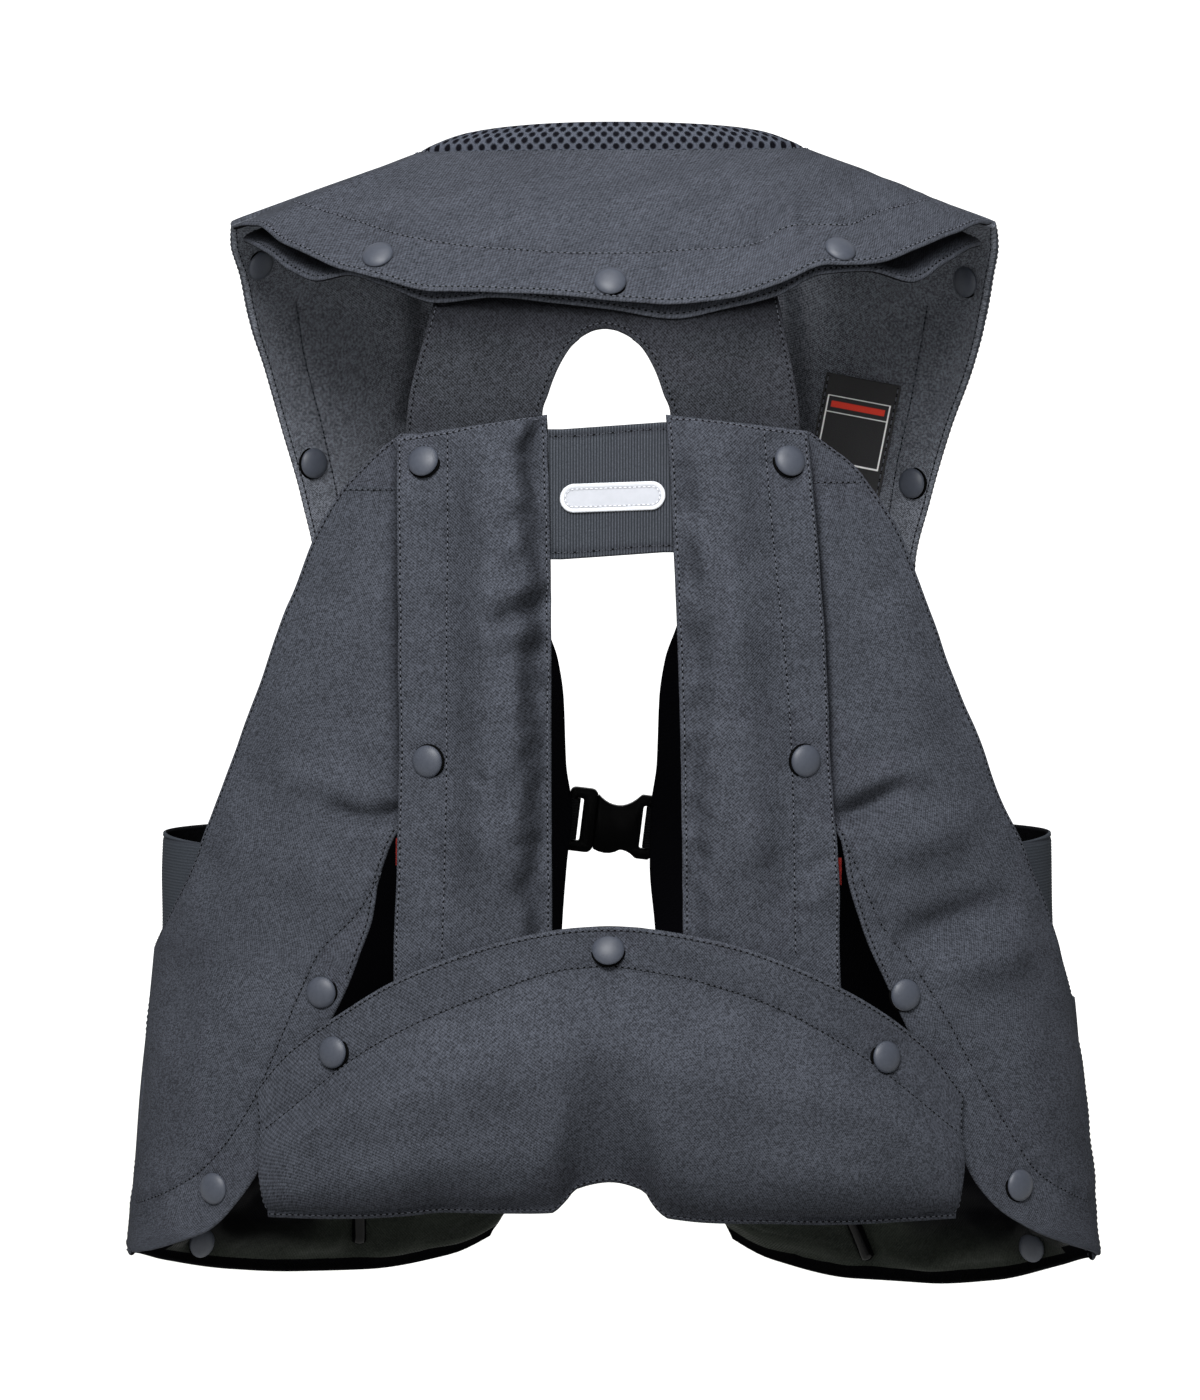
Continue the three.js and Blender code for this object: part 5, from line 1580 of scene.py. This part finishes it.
def front_points(side, sign):
    """The grid of a front panel, its thickness, and its lift, which tucks it under the side seam."""
    up = shares(*FRONT_GRID["up"])
    place = span(FRONT_PANEL["place"], up)
    rows = read_all(FRONT_PANEL, "place", place)
    z = np.minimum(place, SHOULDER_Z)
    inner = math.pi - back_angle(rows["inner_" + side], z)
    outer = np.maximum(math.pi - back_angle(rows[side], z), math.pi - SEAM_ANGLE)
    across = shares(*FRONT_GRID["across"])[None, :]
    points = on_body(sign * blend(inner[:, None], outer[:, None], across), z[:, None])
    drop = through(FRONT_HEM["x"], FRONT_HEM[side], np.abs(points[..., 0]))
    points[..., 2] -= rows["hem"][:, None] * drop
    to_tip = (np.abs(points[..., 0]) - SHOULDER_TOP["from"]) / SHOULDER_TOP["over"]
    top = blend(SHOULDER_TOP["neck"], SHOULDER_TOP["tip"], to_tip)
    turn = np.clip((place - SHOULDER_Z) / SHOULDER_ROLL, 0, 1)[:, None] * math.pi / 2
    points[..., 2] += (top - points[..., 2]) * np.sin(turn)
    points[..., 1] = points[..., 1] * np.cos(turn) + SHOULDER_LEAN * np.sin(turn)
    thick = half_round(across, half_round(up[:, None], FRONT_CROWN))
    sunk = SEAM_TUCK["depth"] * smooth_step((across - SEAM_TUCK["from"]) / (1 - SEAM_TUCK["from"]))
    return points, thick, -sunk * smooth_step((SEAM_TUCK["below"] - points[..., 2]) / SEAM_TUCK["over"])


print("shoulder tip at", SHOULDER_TOP["tip"], "mm")

# %% Wrinkles and shade inside the hem
LINING_BELOW = -150
SATIN_BELOW = -400
HEM_SHADE = {"middle": -434, "side": -447, "aside": 118, "over": 18, "shade": 7.0}
HEM_EDGE = {"wide": 4.5, "over": 3}
HEM_ROLL = {"above": 14.0, "reach": 5.5, "height": 7.0, "sway": (26, 9.0, 18)}
HEM_WRINKLES = {"from": -385, "over": 20, "coarse": (15, 8.0, 11), "fine": (6.25, 2.0, 16)}
WRINKLE_STRETCH = (0.5, 1, 1)
TUBE_ROUTE = {"left": [(-111, -405), (-111, -445)], "right": [(93, -405), (113.6, -452)]}
SMOOTH_ROUND = 9.0


def hem_wrinkles(points, side):
    """Wrinkles of the satin, with a smooth bed left for the tube, the snap and the hem's strip."""
    above_hem = run_along(points, 0)
    zone = np.clip((HEM_WRINKLES["from"] - points[..., 2]) / HEM_WRINKLES["over"], 0, 1)
    zone *= np.clip((above_hem - HEM_EDGE["wide"]) / HEM_EDGE["over"], 0, 1)
    zone *= 1 - bell(line_distance(points, TUBE_ROUTE[side])[0], SMOOTH_ROUND)
    for place in snaps_on(f"snap_hem_{side}"):
        zone *= 1 - np.exp(-((from_place(points, place) / SMOOTH_ROUND) ** 4))
    coarse = np.abs(ripple(points * WRINKLE_STRETCH, *HEM_WRINKLES["coarse"]))
    fine = np.abs(ripple(points, *HEM_WRINKLES["fine"]))
    crest = HEM_ROLL["above"] + ripple(points * (1, 1, 0), *HEM_ROLL["sway"])
    return (coarse + fine + HEM_ROLL["height"] * bell(above_hem - crest, HEM_ROLL["reach"])) * zone


def hem_shade(points):
    to_side = smooth_step((np.abs(points[..., 0]) - HEM_SHADE["aside"]) / HEM_SHADE["over"])
    shade_from = blend(HEM_SHADE["middle"], HEM_SHADE["side"], to_side)
    above_shade = smooth_step((points[..., 2] - shade_from) / HEM_SHADE["over"])
    return HEM_SHADE["shade"] * above_shade * (points[..., 2] < LINING_BELOW)


print("satin below", SATIN_BELOW, "mm, shaded above", HEM_SHADE["middle"], "mm")

# %% Laying the front panels
FRONT_RIPPLE = (40, 0.5, 12)
FRONT_FILL = 0.3


def front_panel(side, sign):
    points, thick, lift = front_points(side, sign)
    z = points[..., 2]
    wing, darkening = seam_relief(points, [WING_FACING[side]])
    tucked = bell(line_distance(points, WING_TUCK[side])[0], WING_TUCK["width"])
    inner_relief = WING_TUCK["depth"] * tucked - wing - hem_wrinkles(points, side)
    # Painted shade in the tuck beside the yoke and above the lit roll of the hem.
    darkening = np.maximum(darkening, np.maximum(WING_TUCK["shade"] * tucked, hem_shade(points)))
    strip = run_along(points, 0) < HEM_EDGE["wide"]
    # The strip along the hem gets the near-black lining: painted shade.
    zones = [(LINING_AND_SHADE, z < LINING_BELOW), (SATIN, z < SATIN_BELOW), (LINING_AND_SHADE, strip)]
    name = f"front_panel_{side}"
    sheet = Sheet(name + "_cloth", points, lift, thick, TWILL, LIT_WING_TWILL, ripple(points, *FRONT_RIPPLE),
                  inner_relief, round_off=PAD_ROUND, lining_zones=zones, inner_seam_and_shade=darkening)
    sheet.settle("front_cloth", name).padding(FRONT_FILL)
    runs = [border_run(sheet, "end", inside=True), flat_run(sheet, WING_FACING[side], inside=True)]
    runs += [border_run(sheet, edge) for edge in ("start", "top")]
    runs.append(border_run(sheet, "end", above=SIDE_SEAM_TOP))
    stitches(name + "_stitching", runs, "front_cloth", DARK_THREAD)
    return sheet


front_left = front_panel("left", -1)
front_right = front_panel("right", 1)

# %% [markdown]
# ## Side elastics
# Under each arm an elastic band holds back and front together. Its ribs are fine and lie level, with
# painted shade in their grooves, and the top edge is folded over, so a groove runs just below it, darkened
# with painted shade. The inner face has the dark finish of the lining.

# %% Ribbed bands under the arms
SIDE_ELASTIC = {"top": -257, "bottom": -300, "from": 61, "to": 119, "thick": 2.2}
ELASTIC_GRID = {"down": (200, 43), "round": (44, 90)}
ELASTIC_RING = {
    "left": {"top": 185.2, "low": 185.8, "depth": 75.5},
    "right": {"top": 181, "low": 182, "depth": 79},
}
ELASTIC_RIPPLE = (24, 0.5, 13)
ELASTIC_FOLD = {"below": 2.6, "width": 0.7, "depth": 0.35}
ELASTIC_SAG = 2.5
SIDE_RIB = {"pitch": 1.25, "height": 0.12, "tone": 0.4}


def side_elastic(side, sign):
    down = shares(*ELASTIC_GRID["down"])[:, None]
    z = blend(SIDE_ELASTIC["top"], SIDE_ELASTIC["bottom"], down)
    degrees = blend(SIDE_ELASTIC["from"], SIDE_ELASTIC["to"], shares(*ELASTIC_GRID["round"]))[None, :]
    sag = ELASTIC_SAG * np.clip((90 - degrees) / (90 - SIDE_ELASTIC["from"]), 0, 1)
    size = ELASTIC_RING[side]
    angle = sign * np.radians(degrees) + 0 * z
    points = ring(angle, blend(size["top"], size["low"], down), size["depth"], z - sag * (1 - down))
    rib = rounded_ribs(points[..., 2], SIDE_RIB["pitch"])
    # The fold under the top edge: a groove in the shape and painted shade in the finish.
    darkening = bell(SIDE_ELASTIC["top"] - points[..., 2] - ELASTIC_FOLD["below"], ELASTIC_FOLD["width"])
    relief = SIDE_RIB["height"] * (rib - 1) - ELASTIC_FOLD["depth"] * darkening + ripple(points, *ELASTIC_RIPPLE)
    name = f"side_elastic_{side}"
    sheet = Sheet(name + "_band", points, 0.0, SIDE_ELASTIC["thick"], SIDE_BAND, LINING_AND_SHADE, relief, 0.0, darkening,
                  1 + SIDE_RIB["tone"] * (rib - 1))
    sheet.settle("ribbed_elastic", name)
    sheet.cloth("stretched", [f"side_panel_{side}", f"front_panel_{side}"])


side_elastic("left", -1)
side_elastic("right", 1)

# %% [markdown]
# ## Red cloth in the slits
# A sliver of red cloth shows in each slit. It is made as a small crumpled sheet that hangs under the edge
# of the strap.

# %% Slit tabs
SLIT_TAB = {"thick": 1.4, "lift": 0.8, "round": 0.6, "crumple": (5, 0.8, 14)}
TAB_GRID = {"across": (16, 12, SLIT_TAB["round"]), "down": (24, 22, SLIT_TAB["round"])}
TAB_PLACE = {"left": {"inner": 76, "outer": 86.4, "top": -253, "bottom": -264},
             "right": {"inner": 81, "outer": 91.4, "top": -261, "bottom": -272}}


def slit_tab(side, sign):
    place = TAB_PLACE[side]
    x = sign * blend(place["inner"], place["outer"], shares(*TAB_GRID["across"]))[None, :]
    z = blend(place["top"], place["bottom"], shares(*TAB_GRID["down"]))[:, None]
    points = on_back(x + 0 * z, z + 0 * x)
    relief = -np.abs(ripple(points, *SLIT_TAB["crumple"]))
    name = f"slit_tab_{side}"
    sheet = Sheet(name + "_cloth", points, SLIT_TAB["lift"], SLIT_TAB["thick"], RED_CLOTH, RED_CLOTH, relief,
                  round_off=SLIT_TAB["round"])
    sheet.settle("red_cloth", name).cloth("hung", [f"back_strap_{side}"])


slit_tab("left", -1)
slit_tab("right", 1)

# %% [markdown]
# %% [markdown]
# ## Label
# A sewn label sits inside the right front panel: black satin with thin white frame lines and a red strip,
# bare of words. The lines are a few named rectangles, written as a colour on a fine grid of points.

# %% Label finish and print
LABEL = {"x": 104, "z": -93, "width": 32.0, "height": 50.0, "lean": -0.19, "thick": 0.7, "lift": -2.0}
LABEL_LINES = {"across": 110, "down": 150, "round": 0.35}
LABEL_SEAM = {"inset": 1.3, "pitch": 3.4, "length": 2.4}
LABEL_WHITE = (0.62, 0.62, 0.62)
LABEL_RED = (0.45, 0.035, 0.022)
LABEL_BLACK = (0.022, 0.022, 0.023)
LABEL_PRINT = [
    (2.6, 9.0, 29.4, 9.5, LABEL_WHITE),
    (2.6, 16.0, 29.4, 16.5, LABEL_WHITE),
    (2.6, 37.0, 29.4, 37.5, LABEL_WHITE),
    (2.6, 9.0, 3.1, 37.5, LABEL_WHITE),
    (28.9, 9.0, 29.4, 37.5, LABEL_WHITE),
    (4.6, 11.4, 27.4, 14.2, LABEL_RED),
]


def label_satin():
    material, tree, shader = new_finish("label_satin", 0.5, 0.04)
    texture = {"Vector": attribute(tree, "grain"), "Scale": 1800.0, "Detail": 2.0}
    threads = node(tree, "ShaderNodeTexNoise", texture)
    colour = mix(tree, 0.35, attribute(tree, "print", "Color"), threads.outputs["Color"], "MULTIPLY")
    tree.links.new(colour, shader.inputs["Base Color"])
    bump(tree, shader, threads.outputs["Fac"], 0.0001, 0.5)
    return material


print("label rectangles:", len(LABEL_PRINT))

# %% Sewing in the label
def label():
    round_off = LABEL_LINES["round"]
    across = LABEL["width"] * (shares(LABEL_LINES["across"], LABEL["width"], round_off)[None, :] - 0.5)
    up = LABEL["height"] * (0.5 - shares(LABEL_LINES["down"], LABEL["height"], round_off)[:, None])
    x = LABEL["x"] + across * math.cos(LABEL["lean"]) - up * math.sin(LABEL["lean"])
    z = LABEL["z"] + across * math.sin(LABEL["lean"]) + up * math.cos(LABEL["lean"])
    points = on_front(x, z)
    finish = label_satin()
    sheet = Sheet("label_satin", points, LABEL["lift"], LABEL["thick"], finish, finish, round_off=round_off)
    print_colour = np.zeros(points.shape[:2] + (4,)) + (*LABEL_BLACK, 1.0)
    left = across + LABEL["width"] / 2 + 0 * up
    top = LABEL["height"] / 2 - up + 0 * across
    for x0, y0, x1, y1, ink in LABEL_PRINT:
        print_colour[(left >= x0) & (left <= x1) & (top >= y0) & (top <= y1)] = (*ink, 1.0)
    sheet.write("print", print_colour, "FLOAT_COLOR", "color")
    sheet.settle("label", "label").cloth("stretched", ["front_panel_right"])
    runs = [border_run(sheet, edge, LABEL_SEAM["inset"], inside=True) for edge in ("start", "end")]
    stitches("label_stitching", runs, "label", THREAD, LABEL_SEAM["pitch"], LABEL_SEAM["length"])


label()

# %% [markdown]
# ## Tubes in the hem
# A short shiny tube shows inside the front hem on each side. Its route is read from the frame: the middle of
# the solid at a few heights. Rings along the route, with rounded ends, make a smooth tube.

# %% Hem tubes
TUBE_RADIUS = 3.1
TUBE_SIDES = 20
TUBE_SECTIONS = 5
TUBE_RINGS = 40
TUBE_END = {"round": 1.4, "least": 0.05}


def hem_tube(side):
    points = node_points(f"hem_tube_{side}")
    by_height = points[np.argsort(-points[:, 2])]
    middles = np.array([part.mean(axis=0) for part in np.array_split(by_height, TUBE_SECTIONS)])
    heights = np.linspace(0, 1, TUBE_SECTIONS)
    places = np.linspace(0, 1, TUBE_RINGS)
    route = np.stack([through(heights, middles[:, k], places) for k in range(3)], -1)
    ahead = unit(np.gradient(route, axis=0))
    one = unit(np.cross(ahead, (0, 1.0, 0)))
    two = np.cross(ahead, one)
    run = run_along(route[None], 1)[0]
    end = np.clip(np.minimum(run, run[-1] - run) / TUBE_END["round"], TUBE_END["least"], 1)
    radius = TUBE_RADIUS * np.sqrt(1 - (1 - end) ** 2)
    rings = [middle + size * circle(TUBE_SIDES, a, b) for middle, size, a, b in zip(route, radius, one, two)]
    piece = ring_stack(f"hem_tube_{side}_rubber", rings, RUBBER, RUBBER, 0)
    join_vest(piece, "tube_rubber", f"hem_tube_{side}")
    print(f"{piece.name}: {run[-1]:.0f} mm long")


hem_tube("left")
hem_tube("right")

# %% [markdown]
# ## Buckle and webbing
# The buckle's solids already have the right outline. Moulded plastic has no knife edges, so the flat
# triangles are first joined into whole faces, and then every sharp edge gets a small bevel. The end of the
# plug is pushed a little further along the buckle's slant, into the socket. The webbing is treated the same
# way with a smaller bevel and a woven finish.

# %% Webbing finish and bevelled copies
WEBBING_PITCH = 0.0012
BUCKLE_TILT = math.radians(7)
BUCKLE_ALONG = Vector((math.cos(BUCKLE_TILT), 0, -math.sin(BUCKLE_TILT)))
END_SLICE = 0.2
PLUG_PUSH = 0.38
FLAT_BELOW = math.radians(1)
SHARP_ABOVE = math.radians(35)
PLASTIC_BEVEL = 0.7
WEBBING_BEVEL = 0.3


def webbing_weave():
    material, tree, shader = new_finish("black_webbing", 0.85, 0.04)
    place = node(tree, "ShaderNodeTexCoord").outputs["Object"]
    wave = {"Vector": place, "Scale": band_scale(WEBBING_PITCH), "Distortion": 0.6}
    ribs = node(tree, "ShaderNodeTexWave", wave, bands_direction="Z").outputs["Fac"]
    colour = mix(tree, ribs, tone(0.0008, 0.0008, 0.001), tone(0.003, 0.0031, 0.0035))
    tree.links.new(colour, shader.inputs["Base Color"])
    bump(tree, shader, ribs, 0.0003, 0.8)
    return material


def bevelled(node_name, name, width, material, slot, push=0.0):
    mesh = bmesh.new()
    mesh.from_mesh(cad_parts[node_name].data)
    reach = max(vertex.co @ BUCKLE_ALONG for vertex in mesh.verts)
    for vertex in mesh.verts:
        if vertex.co @ BUCKLE_ALONG > reach - END_SLICE * MM:
            vertex.co += push * MM * BUCKLE_ALONG
    bmesh.ops.remove_doubles(mesh, verts=mesh.verts, dist=1e-6)
    bmesh.ops.dissolve_limit(mesh, angle_limit=FLAT_BELOW, verts=mesh.verts, edges=mesh.edges)
    sharp = [edge for edge in mesh.edges if edge.is_manifold and edge.calc_face_angle() > SHARP_ABOVE]
    bmesh.ops.bevel(mesh, geom=sharp, offset=width * MM, segments=3, profile=0.5, affect="EDGES")
    data = bpy.data.meshes.new(name)
    mesh.to_mesh(data)
    mesh.free()
    data.materials.clear()
    data.materials.append(material)
    data.shade_smooth()
    join_vest(put(name, data), slot, node_name)
    print(f"{name}: {len(data.polygons)} faces")


WEBBING = webbing_weave()
bevelled("buckle_plug", "buckle_plug_moulding", PLASTIC_BEVEL, BLACK_PLASTIC, "buckle_plastic", PLUG_PUSH)
bevelled("buckle_socket", "buckle_socket_moulding", PLASTIC_BEVEL, BLACK_PLASTIC, "buckle_plastic")
for side in ("left", "right"):
    bevelled(f"buckle_webbing_{side}", f"buckle_webbing_{side}_strap", WEBBING_BEVEL, WEBBING, "webbing")

# %% [markdown]
# ## Snaps
# Each cap is a shallow painted dome with a rolled rim over a narrow foot, turned from a short profile, and
# the foot is black as a painted shadow under the rim. Its place and facing come from the frame, and a ray
# along its axis finds the cloth, so the cap sits on the cloth as it lies now, with the dimple round it. What
# is printed is how far the cloth lies outward of the middle of the cap's solid.

# %% Snap profile
SNAP_PROFILE = table("radius height", [
    [6.9, -0.6],
    [6.9, 0.10],
    [6.2, 0.22],
    [4.8, 0.25],
    [4.8, 0.60],
    [6.1, 0.65],
    [6.4, 0.90],
    [6.45, 1.20],
    [6.25, 1.60],
    [5.6, 2.20],
    [4.4, 2.80],
    [2.8, 3.25],
    [1.4, 3.45],
    [0.5, 3.50],
])
# The lowest bands, round the foot, are black: a painted shadow under the rim.
SNAP_SHADOW_BANDS = 5
SNAP_SIDES = 48
SNAP_START = 12
FACE_TREES = {
    "collar": face_tree(collar_flap.outer),
    "strap_left": face_tree(strap_left.outer),
    "strap_right": face_tree(strap_right.outer),
    "lower": face_tree(kidney_flap.outer),
    "side_left": face_tree(side_left.outer),
    "side_right": face_tree(side_right.outer),
    "front_left": face_tree(front_left.inner),
    "front_right": face_tree(front_right.inner),
    "hem_left": face_tree(front_left.inner),
    "hem_right": face_tree(front_right.inner),
}
print("snap radius in mm:", SNAP_PROFILE["radius"].max())

# %% Seating the snaps
def snap(name):
    middle, way = SNAP_PLACES[name]
    tree = next(tree for key, tree in FACE_TREES.items() if name.startswith("snap_" + key))
    seat = np.array(tree.ray_cast(Vector(middle + SNAP_START * way), Vector(-way))[0])
    one = unit(np.cross(way, (0, 0, 1.0)))
    flat = circle(SNAP_SIDES, one, np.cross(way, one))
    rings = [seat + height * way + radius * flat for radius, height in zip(*SNAP_PROFILE.values())]
    join_vest(ring_stack(name + "_cap", rings, GUNMETAL, NEEDLE_HOLE_AND_SHADOW, SNAP_SHADOW_BANDS), "snap_metal", name)
    print(f"{name}: {float((seat - middle) @ way):.1f} mm")


for name in SNAP_NODES:
    snap(name)
